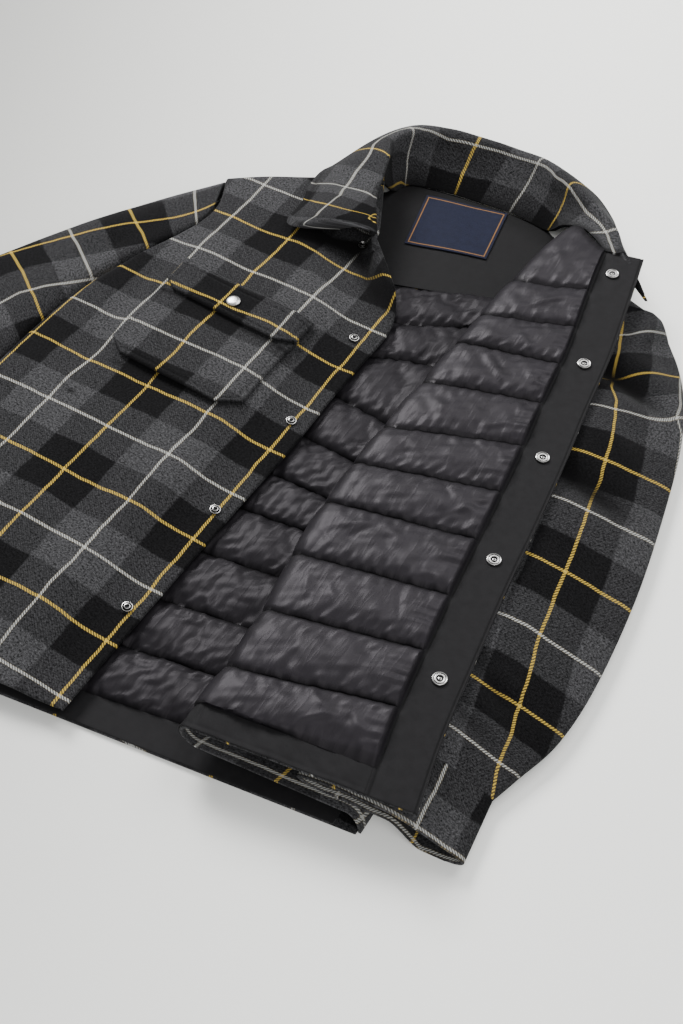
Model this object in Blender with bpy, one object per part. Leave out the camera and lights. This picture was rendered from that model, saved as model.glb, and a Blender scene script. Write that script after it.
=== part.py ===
"""A shacket, a wool overshirt with a quilted lining, laid flat with one front folded back.

The tables and sizes are in millimetres. +X runs to the wearer's left, +Y to the neck, +Z up.
The floor is z = 0 and the origin is the centre of the garment's box on the floor.
"""

import math

import bpy
from mathutils import Vector

MM = 0.001

# Cloth and seams
WOOL = 2.5
COLLAR_WOOL = 3.4
FACING = 1.2
SEAM_GAP = 0.3
QUILT_SEAM = 1.6
QUILT_PUFF = 8.5
# Middle height of a front where it is sewn to the back
LAID_SEAM = WOOL + SEAM_GAP + WOOL / 2 + 0.2

# Body, laid flat
BACK_INSET = WOOL / 2 + SEAM_GAP + 0.4
HEM_Y = -466.0
HEM_SLOPE = 0.14
FRONT_HEM_LIFT = 3.0
RIGHT_EDGE_ROUND = 15.0
LEFT_EDGE_ROUND = 12.0
FRONT_BOTTOM_Y = -463.0
FRONT_LENGTH = 640.0
FRONT_HEIGHT = 29.0
FRONT_EDGE_HEIGHT = 17.5
FRONT_RISE = 85.0
FRONT_WAVE = 1.3
NECK_HOLLOW = (-60.0, 142.0)
NECK_HOLLOW_WIDTH = 34.0
NECK_HOLLOW_HEIGHT = 18.0
NECK_EDGE_HEIGHT = 33.0
SHOULDER_START = 0.93
LOWER_LAYER = 24.0
HEM_BAND = 34.0
NECK_FACING_Y = 160.0
NECK_FACING_SLOPE = 0.3
NECK_FACING_INSET = 10.0
LINING_INSET = 22.0

# Folded-back left front
LEFT_FRONT_LENGTH = 690.0
RIDGE_RADIUS = 13.0
STRIP_WIDTH = 42.0
STRIP_SEAM = 0.012
LEFT_QUILT_CHANNELS = 11
BACK_QUILT_CHANNELS = 10

# Chest pocket and flap
POCKET_LEFT, POCKET_RIGHT = -217.0, -50.0
POCKET_TOP, POCKET_BOTTOM = 20.0, -114.0
POCKET_CORNER = 24.0
FLAP_TOP, FLAP_BOTTOM = 36.0, -13.0
FLAP_CORNER = 17.0
POCKET_SLOPE = -0.06
POCKET_BULGE = 2.5
POCKET_LIFT = 1.0
FLAP_LIFT = 5.6

# Snaps
SNAP_PITCH = 132.0
RING_RADIUS = 6.6
STUD_RADIUS = 4.6
CAP_RADIUS = 7.5
SNAP_HEIGHT = 2.4
SOCKET_MIDDLE_Y = -28.0
STUD_FIRST_Y = -353.0
STUD_INSET = 17.0
TOP_STUD = (-74.0, 166.0)
TOP_STUD_LIFT = 2.9
CAP_X, CAP_Y = -134.0, 8.0

# Sleeves
SLEEVE_WALL = 2.5
CUFF_WALL = 3.0
SLEEVE_POINTS = 18
SIDE_CLEARANCE = 18.0
SIDE_FALL = 32.0

# The right front's side and armhole, from hem to shoulder point: x, y
RIGHT_SIDE = (
    (-305, -509), (-305, -400), (-305, -290), (-305, -180), (-305, -100),
    (-296, -30), (-278, 24), (-256, 74), (-247, 110), (-250, 144), (-269, 188),
)
# The left side and armhole, from hem to shoulder point: x, y
LEFT_SIDE = (
    (277, -427), (277, -340), (277, -250), (277, -160), (277, -70),
    (272, 0), (258, 60), (242, 110), (232, 155), (232, 200), (243, 249),
)
# The top of the back, from the right shoulder point over the neck to the left one: x, y
BACK_TOP = (
    (-269, 188), (-215, 222), (-162, 256), (-112, 290), (-98, 316), (-40, 326),
    (20, 330), (72, 328), (92, 318), (142, 296), (192, 273), (243, 249),
)
# The top of the right front, shoulder then neck, ending at the placket's top corner: x, y
RIGHT_FRONT_TOP = (
    (-269, 188), (-229, 213), (-190, 238), (-152, 263), (-118, 285),
    (-104, 262), (-97, 236), (-90, 206), (-74, 184), (-56, 170),
)
# The right front edge from hem to the placket's top corner: x, y, height of the cloth
RIGHT_FRONT_EDGE = (
    (11, -463, 17.5), (11, -416, 17.5), (12, -350, 17.5), (13, -270, 17.5), (15, -190, 17.5),
    (17, -110, 17.5), (15, -40, 17.5), (16, 20, 18.5), (16, 70, 25), (3, 108, 33),
    (-22, 136, 36), (-56, 170, 38),
)
# The left front from hem to neck: ridge centre x, y; front edge x, y; height of the upper layer at its edge
LEFT_FRONT = (
    (128, -438, 319, -408, 47),
    (130, -366, 304, -338, 48),
    (124, -296, 292, -258, 48),
    (112, -222, 281, -180, 48),
    (107, -146, 272, -104, 48),
    (107, -66, 262, -28, 48),
    (110, 14, 250, 48, 48),
    (113, 92, 240, 122, 49),
    (117, 172, 226, 196, 51),
    (130, 292, 205, 260, 53),
)
NECK_DIP = 12.0
# Sleeves from armhole to cuff seam: outer fold x, y; inner fold x, y; height of the crown
RIGHT_SLEEVE = (
    (-275, 191, -251, 138, 23),
    (-305, 144, -240, 88, 25),
    (-344, 84, -262, 34, 26),
    (-380, 20, -285, -36, 27),
    (-412, -44, -300, -112, 27),
    (-443, -112, -305, -184, 28),
    (-472, -182, -318, -248, 28),
    (-498, -250, -340, -312, 26),
    (-518, -314, -372, -356, 24),
)
RIGHT_CUFF = (
    (-518.1, -314.3, -372.1, -356.3, 24),
    (-535, -380, -391, -420, 25),
)
LEFT_SLEEVE = (
    (247, 226, 165, 205, 36),
    (279, 206, 152, 168, 39),
    (312, 156, 150, 112, 42),
    (337, 92, 154, 48, 44),
    (355, 14, 163, -32, 44),
    (374, -96, 178, -122, 44),
    (383, -202, 194, -216, 44),
    (380, -272, 202, -282, 44),
    (366, -320, 207, -326, 43),
    (357, -348, 211, -356, 42),
)
LEFT_CUFF = (
    (357, -348.3, 211, -356.3, 42),
    (363, -408, 217, -422, 43),
)
# The collar round the neck, from the right front end to the left one:
# base x, y, z; roll line x, y, z; free edge x, y, z; outward push of the leaf's middle
COLLAR = (
    (-62, 174, 40, -57, 166, 52, -98, 160, 42, 6),
    (-77, 190, 40, -70, 184, 58, -152, 142, 37, 6),
    (-93, 212, 38, -84, 210, 62, -160, 184, 37, 6),
    (-101, 238, 37, -94, 240, 62, -170, 216, 37, 6),
    (-107, 264, 37, -104, 272, 61, -186, 250, 34, 7),
    (-107, 292, 15, -120, 312, 57, -182, 300, 8, 8),
    (-93, 311, 4.6, -104, 352, 54, -146, 362, 5, 8),
    (-63, 319, 4.6, -70, 368, 51, -96, 392, 5, 6),
    (-20, 324, 4.6, -12, 376, 50, -14, 402, 5, 4),
    (35, 326, 4.8, 46, 372, 51, 62, 396, 5, 5),
    (80, 319, 6, 88, 352, 54, 122, 374, 5, 8),
    (104, 308, 34, 124, 328, 58, 168, 344, 5, 9),
    (138, 290, 51, 162, 300, 61, 212, 306, 16, 9),
    (172, 262, 54, 194, 274, 63, 246, 226, 46, 9),
)
# Broad creases of the right front: height, x, lean to the side with y, width, y where it starts, length of its start
FRONT_CREASES = (
    (2.2, -205, 0.0, 26, -60, 120),
    (-3.0, -248, -0.2, 16, -260, 160),
)
# The neck facing's ends beside its lower edge, on the right and on the left: x, y
NECK_FACING_RIGHT = ((-212, 96.4), (-214, 178), (-178, 226))
NECK_FACING_LEFT = ((208, 222.4), (206, 246), (176, 262))
# Label corners on the neck facing: x, y
LABEL = ((-47, 217), (44, 240), (29, 323), (-66, 303))

MATERIALS = {
    "wool": ((0.045, 0.046, 0.05), 0.95, 0.0),
    "quilt": ((0.05, 0.047, 0.05), 0.5, 0.0),
    "facing": ((0.018, 0.018, 0.02), 0.8, 0.0),
    "label": ((0.03, 0.045, 0.13), 0.8, 0.0),
    "metal": ((0.6, 0.6, 0.6), 0.3, 1.0),
}


def clear_scene():
    for obj in list(bpy.data.objects):
        bpy.data.objects.remove(obj, do_unlink=True)


def material(name):
    found = bpy.data.materials.get(name)
    if found:
        return found
    colour, roughness, metallic = MATERIALS[name]
    made = bpy.data.materials.new(name)
    made.use_nodes = True
    shader = made.node_tree.nodes["Principled BSDF"]
    shader.inputs["Base Color"].default_value = (*colour, 1.0)
    shader.inputs["Roughness"].default_value = roughness
    shader.inputs["Metallic"].default_value = metallic
    return made


def spline(rows, t):
    """A smooth curve through the rows, evenly spaced in t from 0 to 1."""
    last = len(rows) - 1
    place = min(max(t, 0.0), 1.0) * last
    k = min(int(place), last - 1)
    s = place - k
    before, here, after, beyond = (rows[min(max(k + j, 0), last)] for j in (-1, 0, 1, 2))
    return [
        0.5 * (2 * b + (c - a) * s + (2 * a - 5 * b + 4 * c - d) * s**2 + (3 * b - a - 3 * c + d) * s**3)
        for a, b, c, d in zip(before, here, after, beyond)
    ]


def smoothstep(x):
    x = min(max(x, 0.0), 1.0)
    return x * x * (3 - 2 * x)


def lerp(a, b, t):
    return a + (b - a) * t


def hem_line(x):
    return HEM_Y + HEM_SLOPE * x


def edge_steps(count):
    """Sines of the angles over a rounded edge, from the floor up."""
    return [math.sin(math.pi / 2 * k / count) for k in range(count)]


def make_object(name, points, faces, slot):
    mesh = bpy.data.meshes.new(name)
    mesh.from_pydata([Vector(p) * MM for p in points], [], faces)
    mesh.materials.append(material(slot))
    mesh.shade_smooth()
    mesh.set_sharp_from_angle(angle=math.radians(45))
    obj = bpy.data.objects.new(name, mesh)
    bpy.context.scene.collection.objects.link(obj)
    return obj


def normals_of(grid, wrap):
    """The grid's normals, from the steps to the neighbours both ways."""
    rows, columns = len(grid), len(grid[0])
    found = []
    for j in range(rows):
        line = []
        for i in range(columns):
            left = grid[j][(i - 1) % columns if wrap else max(i - 1, 0)]
            right = grid[j][(i + 1) % columns if wrap else min(i + 1, columns - 1)]
            below, above = grid[max(j - 1, 0)][i], grid[min(j + 1, rows - 1)][i]
            line.append((right - left).cross(above - below).normalized())
        found.append(line)
    return found


def wall(name, grid, low, high, slot, wrap=False):
    """A closed wall round a grid of points. low and high are its faces' distances along the normal.

    Each is a number, or a function of the row and column.
    """
    rows, columns = len(grid), len(grid[0])
    normals = normals_of(grid, wrap)

    def face_points(offset):
        placed = []
        for j in range(rows):
            for i in range(columns):
                distance = offset(j, i) if callable(offset) else offset
                point = grid[j][i] + normals[j][i] * distance
                point.z = max(point.z, 0.0)
                placed.append(point)
        return placed

    points = face_points(low) + face_points(high)
    top = rows * columns
    faces = []
    spans = columns if wrap else columns - 1
    for j in range(rows - 1):
        for i in range(spans):
            a, b = j * columns + i, j * columns + (i + 1) % columns
            c, d = b + columns, a + columns
            faces.append((a, d, c, b))
            faces.append((top + a, top + b, top + c, top + d))
    for i in range(spans):
        a, b = i, (i + 1) % columns
        faces.append((a, b, top + b, top + a))
        a, b = a + (rows - 1) * columns, b + (rows - 1) * columns
        faces.append((b, a, top + a, top + b))
    if not wrap:
        for j in range(rows - 1):
            a, b = j * columns, (j + 1) * columns
            faces.append((b, a, top + a, top + b))
            a, b = a + columns - 1, b + columns - 1
            faces.append((a, b, top + b, top + a))
    return make_object(name, points, faces, slot)


def plate(name, outline, z, thickness, slot):
    """A flat sheet with this outline, counter-clockwise seen from above."""
    count = len(outline)
    points = [(x, y, z) for x, y in outline] + [(x, y, z + thickness) for x, y in outline]
    faces = [tuple(range(count))[::-1], tuple(range(count, 2 * count))]
    faces += [(k, (k + 1) % count, count + (k + 1) % count, count + k) for k in range(count)]
    return make_object(name, points, faces, slot)


def patch(bottom, top, left, right, across, along):
    """Points filling the space between four boundary curves, each a function of 0 to 1."""
    corner = [Vector(bottom(0)), Vector(bottom(1)), Vector(top(0)), Vector(top(1))]
    grid = []
    for v in along:
        row = []
        for u in across:
            sides = Vector(left(v)) * (1 - u) + Vector(right(v)) * u
            ends = Vector(bottom(u)) * (1 - v) + Vector(top(u)) * v
            low = corner[0] * (1 - u) + corner[1] * u
            high = corner[2] * (1 - u) + corner[3] * u
            row.append(sides + ends - (low * (1 - v) + high * v))
        grid.append(row)
    return grid


def even(count):
    return [k / count for k in range(count + 1)]


def moved_in(curve, distance, t, side):
    """The point of a curve moved sideways in plan. side is +1 to the left of its direction."""
    x, y = spline(curve, t)[:2]
    ax, ay = spline(curve, t - 0.01)[:2]
    bx, by = spline(curve, t + 0.01)[:2]
    length = math.hypot(bx - ax, by - ay)
    return (x - side * (by - ay) / length * distance, y + side * (bx - ax) / length * distance)


def quilt(place, channels, lowest=QUILT_SEAM, puff=QUILT_PUFF):
    """Height of a quilted channel's face at this place, 0 at one end of the lining and 1 at the other."""
    return lowest + puff * abs(math.sin(math.pi * channels * place)) ** 0.75


# Back


def build_back():
    right = [moved_in(RIGHT_SIDE, BACK_INSET, t, -1) for t in even(30)]
    left = [moved_in(LEFT_SIDE, BACK_INSET, t, 1) for t in even(30)]
    top = [moved_in(BACK_TOP, BACK_INSET, t, -1) for t in even(36)][1:-1]
    right[0] = (right[0][0], hem_line(right[0][0]))
    left[0] = (left[0][0], hem_line(left[0][0]))
    plate("back", left + top[::-1] + right[::-1], 0.0, WOOL, "wool")


def side_at(curve, y):
    """The x of a side of the body at this y."""
    nearest = min(even(100), key=lambda t: abs(spline(curve, t)[1] - y))
    return spline(curve, nearest)[0]


def neck_facing_line(x):
    return NECK_FACING_Y + NECK_FACING_SLOPE * x


def inside_back(end, inset=LINING_INSET):
    """The x between the back's sides where its lining and facings end, at both ends of a line."""
    right_y, left_y = end
    return side_at(RIGHT_SIDE, right_y) + inset, side_at(LEFT_SIDE, left_y) - inset


def build_back_lining():
    base = WOOL + SEAM_GAP
    low_ends = inside_back((RIGHT_SIDE[0][1], LEFT_SIDE[0][1]))
    high_ends = inside_back((NECK_FACING_RIGHT[0][1], NECK_FACING_LEFT[0][1]))
    across = even(13)
    along = even(BACK_QUILT_CHANNELS * 3)

    def low_edge(u):
        x = lerp(*low_ends, u)
        return (x, hem_line(x) + HEM_BAND + SEAM_GAP, base)

    def high_edge(u):
        x = lerp(*high_ends, u)
        return (x, neck_facing_line(x) - SEAM_GAP, base)

    def side(t, end):
        low, high = low_edge(end), high_edge(end)
        y = lerp(low[1], high[1], t)
        x = inside_back((y, y))[end]
        return (lerp(x, high[0], smoothstep(t * 8 - 7)), y, base)

    grid = patch(low_edge, high_edge, lambda t: side(t, 0), lambda t: side(t, 1), across, along)

    def puff(j, i):
        rounding = math.sin(math.pi * min(max(across[i], 0.04), 0.96)) ** 0.3
        return quilt(along[j], BACK_QUILT_CHANNELS) * rounding

    wall("back_lining", grid, 0.0, puff, "quilt")


def build_back_facings():
    base = WOOL + SEAM_GAP
    ends = inside_back((RIGHT_SIDE[0][1], LEFT_SIDE[0][1]))
    band = [lerp(*ends, t) for t in even(8)]
    low = [(x, hem_line(x) + 1.0) for x in band]
    high = [(x, hem_line(x) + HEM_BAND) for x in band]
    plate("back_hem_facing", low + high[::-1], base, FACING, "facing")

    low = [(x, neck_facing_line(x)) for x in (lerp(-212, 208, t) for t in even(8))]
    neck = [moved_in(BACK_TOP, NECK_FACING_INSET, lerp(0.22, 0.76, s), -1) for s in even(16)]
    outline = low + list(NECK_FACING_LEFT[1:]) + neck[::-1] + list(NECK_FACING_RIGHT[:0:-1])
    plate("back_neck_facing", outline, base, FACING, "facing")
    plate("label", list(LABEL), base + FACING + SEAM_GAP, 0.8, "label")


# Right front


def front_share(y):
    """How far up the right front's edge this y is, from 0 to 1."""
    return min(max((y - FRONT_BOTTOM_Y) / FRONT_LENGTH, 0), 1)


def right_front_height(x, y):
    """Height of the right front's cloth over the floor, away from its rounded edges."""
    edge_x = spline(RIGHT_FRONT_EDGE, front_share(y))[0]
    to_edge = smoothstep((edge_x - x) / FRONT_RISE)
    height = lerp(FRONT_EDGE_HEIGHT, FRONT_HEIGHT, to_edge)
    height += FRONT_WAVE * math.sin(y / 21.0 + x / 90.0) * to_edge
    for rise, centre, lean, width, start, fade in FRONT_CREASES:
        across = (x - centre - lean * y) / width
        height += rise * math.exp(-(across**2)) * smoothstep((y - start) / fade)
    neck = math.exp(-((math.dist((x, y), NECK_HOLLOW) / NECK_HOLLOW_WIDTH) ** 2))
    return lerp(height, NECK_HOLLOW_HEIGHT, 0.85 * neck)


def placket_lift(x, y):
    """How far the placket's top is curled up from the panel, and the height that it reaches."""
    best = (1e9, 0.0)
    for t in even(60):
        ex, ey, ez = spline(RIGHT_FRONT_EDGE, 0.62 + 0.38 * t)
        best = min(best, (math.hypot(ex - x, ey - y), ez))
    return math.exp(-((best[0] / 22) ** 2)), best[1]


def right_front_grid():
    steps = edge_steps(4)
    width = 312.0
    across = [RIGHT_EDGE_ROUND * (1 - math.sqrt(1 - s * s)) / width for s in steps]
    across += [lerp(RIGHT_EDGE_ROUND / width, 1.0, t) for t in even(16)]
    length = 650.0
    along = [lerp(0.0, 1 - RIGHT_EDGE_ROUND / length, t) for t in even(20)]
    along += [1 - RIGHT_EDGE_ROUND * (1 - math.sqrt(1 - s * s)) / length for s in steps[::-1]]
    side_factor = steps + [1.0] * (len(across) - len(steps))
    top_factor = [1.0] * (len(along) - len(steps)) + steps[::-1]

    def bottom(u):
        x = lerp(RIGHT_SIDE[0][0], RIGHT_FRONT_EDGE[0][0], u)
        return (x, hem_line(x) + FRONT_HEM_LIFT)

    plan = patch(
        bottom,
        lambda u: spline(RIGHT_FRONT_TOP, u),
        lambda v: (spline(RIGHT_SIDE, v)[0], spline(RIGHT_SIDE, v)[1] + FRONT_HEM_LIFT * (1 - v)),
        lambda v: spline(RIGHT_FRONT_EDGE, v)[:2],
        across,
        along,
    )
    grid = []
    for j, row in enumerate(plan):
        line = []
        for i, (x, y) in enumerate(row):
            shoulder = 1 - smoothstep((across[i] - 0.40) / 0.16)
            near_top = lerp(1.0, top_factor[j], shoulder)
            start = LAID_SEAM * shoulder * smoothstep((along[j] - SHOULDER_START) / 0.04)
            neck = smoothstep((across[i] - 0.38) / 0.2) * smoothstep((along[j] - 0.90) / 0.1)
            lift, reach = placket_lift(x, y)
            lift *= smoothstep((along[j] - 0.76) / 0.1)
            height = lerp(right_front_height(x, y), NECK_EDGE_HEIGHT, neck)
            height = lerp(LAID_SEAM, lerp(height, reach, lift), near_top)
            line.append(Vector((x, y, lerp(start, height, side_factor[i]))))
        grid.append(line)
    return grid


def build_right_front():
    wall("right_front", right_front_grid(), -WOOL / 2, WOOL / 2, "wool")


def on_right_front(x, y, lift):
    """A point this far above the right front's outer face."""
    step = 3.0
    slope_x = (right_front_height(x + step, y) - right_front_height(x - step, y)) / (2 * step)
    slope_y = (right_front_height(x, y + step) - right_front_height(x, y - step)) / (2 * step)
    normal = Vector((-slope_x, -slope_y, 1.0)).normalized()
    return Vector((x, y, right_front_height(x, y))) + normal * (WOOL / 2 + lift), normal


def clipped_rows(left, right, top, bottom, corner, count):
    """Rows of a pocket's width from its bottom up, narrower across the clipped corners."""
    rows = []
    for k in range(count + 1):
        if k == 0:
            y, inset = bottom, corner
        elif k == 1:
            y, inset = bottom + corner * 0.75, 0.0
        else:
            y, inset = lerp(bottom + corner * 0.75, top, (k - 1) / (count - 1)), 0.0
        rows.append((left + inset, right - inset, y))
    return rows


def build_pocket_piece(name, top, bottom, corner, gap, thickness, rows):
    grid = []
    shape = clipped_rows(POCKET_LEFT, POCKET_RIGHT, top, bottom, corner, rows)
    for left, right, y in shape:
        line = []
        for u in even(12):
            x = lerp(left, right, u)
            centre = (POCKET_LEFT + POCKET_RIGHT) / 2
            bulge = POCKET_BULGE * math.sin(math.pi * u) * math.sin(math.pi * (y - bottom) / (top - bottom))
            place_y = y + POCKET_SLOPE * (x - centre)
            line.append(on_right_front(x, place_y, gap + thickness / 2 + max(bulge, 0.0))[0])
        grid.append(line)
    wall(name, grid, -thickness / 2, thickness / 2, "wool")


# Left front


def left_front_point(p, v):
    """A point of the left front's cloth. p runs 0 to 1 up its side, to 2 at the ridge, to 3 over it, to 4 at the edge."""
    ridge_x, ridge_y, edge_x, edge_y, upper = spline(LEFT_FRONT, v)
    side_x, side_y = spline(LEFT_SIDE, v)
    side_y += FRONT_HEM_LIFT * (1 - v)
    shoulder = math.sqrt(max(1 - smoothstep((v - SHOULDER_START) / 0.07) ** 2, 0.0))
    at_side = 1 - smoothstep((p - 1.2) / 0.6)
    lower = lerp(LAID_SEAM, LOWER_LAYER, lerp(1.0, shoulder, at_side))
    ridge_high = lower + 2 * RIDGE_RADIUS
    if p < 1:
        angle = math.pi / 2 * p
        inset = LEFT_EDGE_ROUND * (1 - math.cos(angle))
        start = LAID_SEAM * smoothstep((v - SHOULDER_START) / 0.04)
        return Vector((side_x - inset, side_y, lerp(start, lower, math.sin(angle))))
    start = side_x - LEFT_EDGE_ROUND
    if p < 2:
        t = p - 1
        return Vector((lerp(start, ridge_x, t), lerp(side_y, ridge_y, t), lower))
    if p < 3:
        angle = math.pi * (p - 2)
        x = ridge_x - RIDGE_RADIUS * math.sin(angle)
        z = lower + RIDGE_RADIUS * (1 - math.cos(angle))
        return Vector((x, ridge_y, z))
    t = p - 3
    dip = NECK_DIP * math.sin(math.pi * t) * smoothstep((v - 0.75) / 0.25)
    z = lerp(ridge_high, upper, smoothstep(t))
    return Vector((lerp(ridge_x, edge_x, t), lerp(ridge_y, edge_y, t) - dip, z))


def strip_start(v):
    """The p where the facing strip begins, at this height up the garment."""
    ridge_x, ridge_y, edge_x, edge_y, upper = spline(LEFT_FRONT, v)
    return 4 - STRIP_WIDTH / (edge_x - ridge_x)


def left_band(v):
    """The part of the length that the hem's facing takes."""
    return HEM_BAND / LEFT_FRONT_LENGTH * v


def build_left_front():
    across = [k / 4 for k in range(4)] + [1, 1.25, 1.5, 1.75]
    across += [2 + k / 8 for k in range(8)] + [3 + k / 7 for k in range(8)]
    along = [SHOULDER_START * t for t in even(16)] + [0.955, 0.975, 0.99, 1.0]
    grid = [[left_front_point(p, v) for p in across] for v in along]
    wall("left_front", grid, -WOOL / 2, WOOL / 2, "wool")


def build_left_facings():
    base = WOOL / 2 + SEAM_GAP
    edge = 3.995
    strip = [
        [left_front_point(lerp(strip_start(v), edge, t), v) for t in even(4)]
        for v in (lerp(0.002, 0.998, t) for t in even(20))
    ]
    wall("left_front_facing", strip, base, base + FACING, "facing")
    band = []
    for t in even(3):
        v = lerp(0.002, left_band(1.0), t)
        steps = [2.0 + k / 8 for k in range(9)]
        steps += [lerp(3.0, strip_start(v) - STRIP_SEAM, k / 5) for k in range(1, 6)]
        band.append([left_front_point(p, v) for p in steps])
    wall("left_hem_facing", band, base, base + FACING, "facing")


def left_lining_steps(v):
    """The places across the left front where the lining's points lie, from under the ridge to the strip."""
    steps = [1.72, 1.86] + [2.0 + k / 8 for k in range(9)]
    return steps + [lerp(3.0, strip_start(v) - STRIP_SEAM, k / 7) for k in range(1, 8)]


def build_left_lining():
    base = WOOL / 2 + 2 * SEAM_GAP + 0.1
    channels = LEFT_QUILT_CHANNELS
    start = left_band(1.0) + 0.001
    along = even(channels * 3)
    lengths = [lerp(start, 0.997, t) for t in along]
    grid = [[left_front_point(p, v) for p in left_lining_steps(v)] for v in lengths]

    def puff(j, i):
        place = left_lining_steps(lengths[j])[i]
        under = 1 - smoothstep((place - 1.9) / 0.6)
        at_strip = smoothstep((place - 3.55) / 0.2)
        full = quilt(along[j], channels)
        full = lerp(full, min(full, QUILT_SEAM + 3.0), under)
        return base + lerp(full, QUILT_SEAM + 0.45 * (full - QUILT_SEAM), at_strip)

    wall("left_front_lining", grid, base, puff, "quilt")


# Sleeves


def body_clearance(x, y):
    """Height of the layer that the left sleeve lies on, falling to the floor beyond the body's side."""
    side = side_at(LEFT_SIDE, y)
    beyond = smoothstep((x - side - SIDE_CLEARANCE) / SIDE_FALL)
    return (LOWER_LAYER + WOOL / 2 + 1.2) * (1 - beyond)


def sleeve_ring(row, count, raised):
    """A flattened ring across a sleeve, its folds at the outer and inner points."""
    outer_x, outer_y, inner_x, inner_y, crown = row
    if not raised:
        inner_x = min(inner_x, side_at(RIGHT_SIDE, inner_y) - WOOL / 2 - 2 * SEAM_GAP)
    ring = []
    for k in range(count):
        angle = 2 * math.pi * k / count
        s = (1 + math.cos(angle)) / 2
        x, y = lerp(inner_x, outer_x, s), lerp(inner_y, outer_y, s)
        low = body_clearance(x, y) if raised else 0.0
        top = crown
        if raised:
            top = max(crown - 20.0 * smoothstep((s - 0.5) / 0.5), low + 10.0)
        fold = abs(math.cos(angle))
        power = 3.0 if math.sin(angle) > 0 else 9.0
        share = math.sqrt(max(1 - fold**power, 0.0))
        middle, half = (low + top) / 2, (top - low) / 2
        z = middle + half * share * (1 if math.sin(angle) > 0 else -1)
        if z < 0.8:
            z = 0.0
        ring.append(Vector((x, y, z)))
    return ring


def build_sleeve(name, rows, thickness, count, along, raised, slot="wool"):
    grid = [sleeve_ring(spline(rows, t), count, raised) for t in even(along)]
    step = grid[0][1] - grid[0][0]
    up = grid[1][0] - grid[0][0]
    outward = step.cross(up).dot(grid[0][0] - grid[0][count // 2])
    if outward > 0:
        wall(name, grid, -thickness, 0.0, slot, wrap=True)
    else:
        flipped = [row[::-1] for row in grid]
        wall(name, flipped, -thickness, 0.0, slot, wrap=True)


# Collar


def collar_section(t):
    """Points across the collar, from its base over the roll line to its free edge."""
    bx, by, bz, rx, ry, rz, ex, ey, ez, push = spline(COLLAR, t)
    base, roll, edge = Vector((bx, by, bz)), Vector((rx, ry, rz)), Vector((ex, ey, ez))
    outward = edge - base
    outward.z = 0
    outward.normalize()
    stand = base.lerp(roll, 0.55) + outward * 2.0
    leaf = roll.lerp(edge, 0.45) + outward * push + Vector((0, 0, 0.6 * push))
    knots = [base, stand, roll, leaf, edge]
    return [Vector(spline(knots, s)) for s in even(11)]


def build_collar():
    grid = [collar_section(t) for t in even(30)]
    wall("collar", grid, -COLLAR_WOOL / 2, COLLAR_WOOL / 2, "wool")


# Snaps


def turned(name, profile, centre, normal, sides=14):
    """A turned solid from rows of radius and height, standing on a panel."""
    axis = Vector(normal).normalized()
    across = axis.orthogonal().normalized()
    other = axis.cross(across)
    points, faces = [], []
    for radius, height in profile:
        for k in range(sides):
            angle = 2 * math.pi * k / sides
            offset = across * (radius * math.cos(angle)) + other * (radius * math.sin(angle))
            points.append(Vector(centre) + offset + axis * height)
    for j in range(len(profile) - 1):
        for k in range(sides):
            a, b = j * sides + k, j * sides + (k + 1) % sides
            faces.append((a, b, b + sides, a + sides))
    last = (len(profile) - 1) * sides
    faces.append(tuple(range(sides))[::-1])
    faces.append(tuple(last + k for k in range(sides)))
    return make_object(name, points, faces, "metal")


RING_PROFILE = ((1.0, 0.0), (1.0, 0.55), (0.86, 1.0), (0.66, 0.9), (0.55, 0.45))
CAP_PROFILE = ((0.9, 0.0), (1.0, 0.25), (0.96, 0.6), (0.75, 0.85), (0.4, 0.98))


def scaled(profile, radius, height):
    return [(r * radius, h * height) for r, h in profile]


def build_snaps():
    for k in range(4):
        y = STUD_FIRST_Y + SNAP_PITCH * k
        x = spline(RIGHT_FRONT_EDGE, front_share(y))[0] - STUD_INSET
        place, normal = on_right_front(x, y, 2 * SEAM_GAP)
        turned(f"front_stud_{5 - k}", scaled(RING_PROFILE, STUD_RADIUS, 2.0), place, normal)
    grid = right_front_grid()
    normals = normals_of(grid, False)
    cells = [(j, i) for j in range(len(grid)) for i in range(len(grid[0]))]
    j, i = min(cells, key=lambda c: math.dist(grid[c[0]][c[1]][:2], TOP_STUD))
    place = grid[j][i] + normals[j][i] * (WOOL / 2 + TOP_STUD_LIFT)
    turned("front_stud_1", scaled(RING_PROFILE, STUD_RADIUS, 2.0), place, normals[j][i])
    flap_face = FLAP_LIFT + WOOL + POCKET_BULGE
    place, normal = on_right_front(CAP_X, CAP_Y, flap_face)
    turned("flap_snap_cap", scaled(CAP_PROFILE, CAP_RADIUS, 2.6), place, normal)
    for k in range(5):
        y = SOCKET_MIDDLE_Y + SNAP_PITCH * (2 - k)
        middle = min(even(200), key=lambda v: abs(left_front_point(3.9, v).y - y))
        p = (strip_start(middle) + 4) / 2
        centre = left_front_point(p, middle)
        slope = left_front_point(p + 0.05, middle) - left_front_point(p - 0.05, middle)
        rise = left_front_point(p, min(middle + 0.01, 1)) - left_front_point(p, middle - 0.01)
        normal = slope.cross(rise).normalized()
        place = centre + normal * (WOOL / 2 + FACING + 2 * SEAM_GAP + 0.1)
        turned(f"front_socket_{k + 1}", scaled(RING_PROFILE, RING_RADIUS, SNAP_HEIGHT), place, normal)


def centre_on_origin():
    """Moves every mesh so that the garment's box stands on the origin."""
    meshes = [obj.data for obj in bpy.data.objects if obj.type == "MESH"]
    xs = [v.co.x for mesh in meshes for v in mesh.vertices]
    ys = [v.co.y for mesh in meshes for v in mesh.vertices]
    shift = Vector((-(min(xs) + max(xs)) / 2, -(min(ys) + max(ys)) / 2, 0.0))
    for mesh in meshes:
        for vertex in mesh.vertices:
            vertex.co += shift


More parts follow.
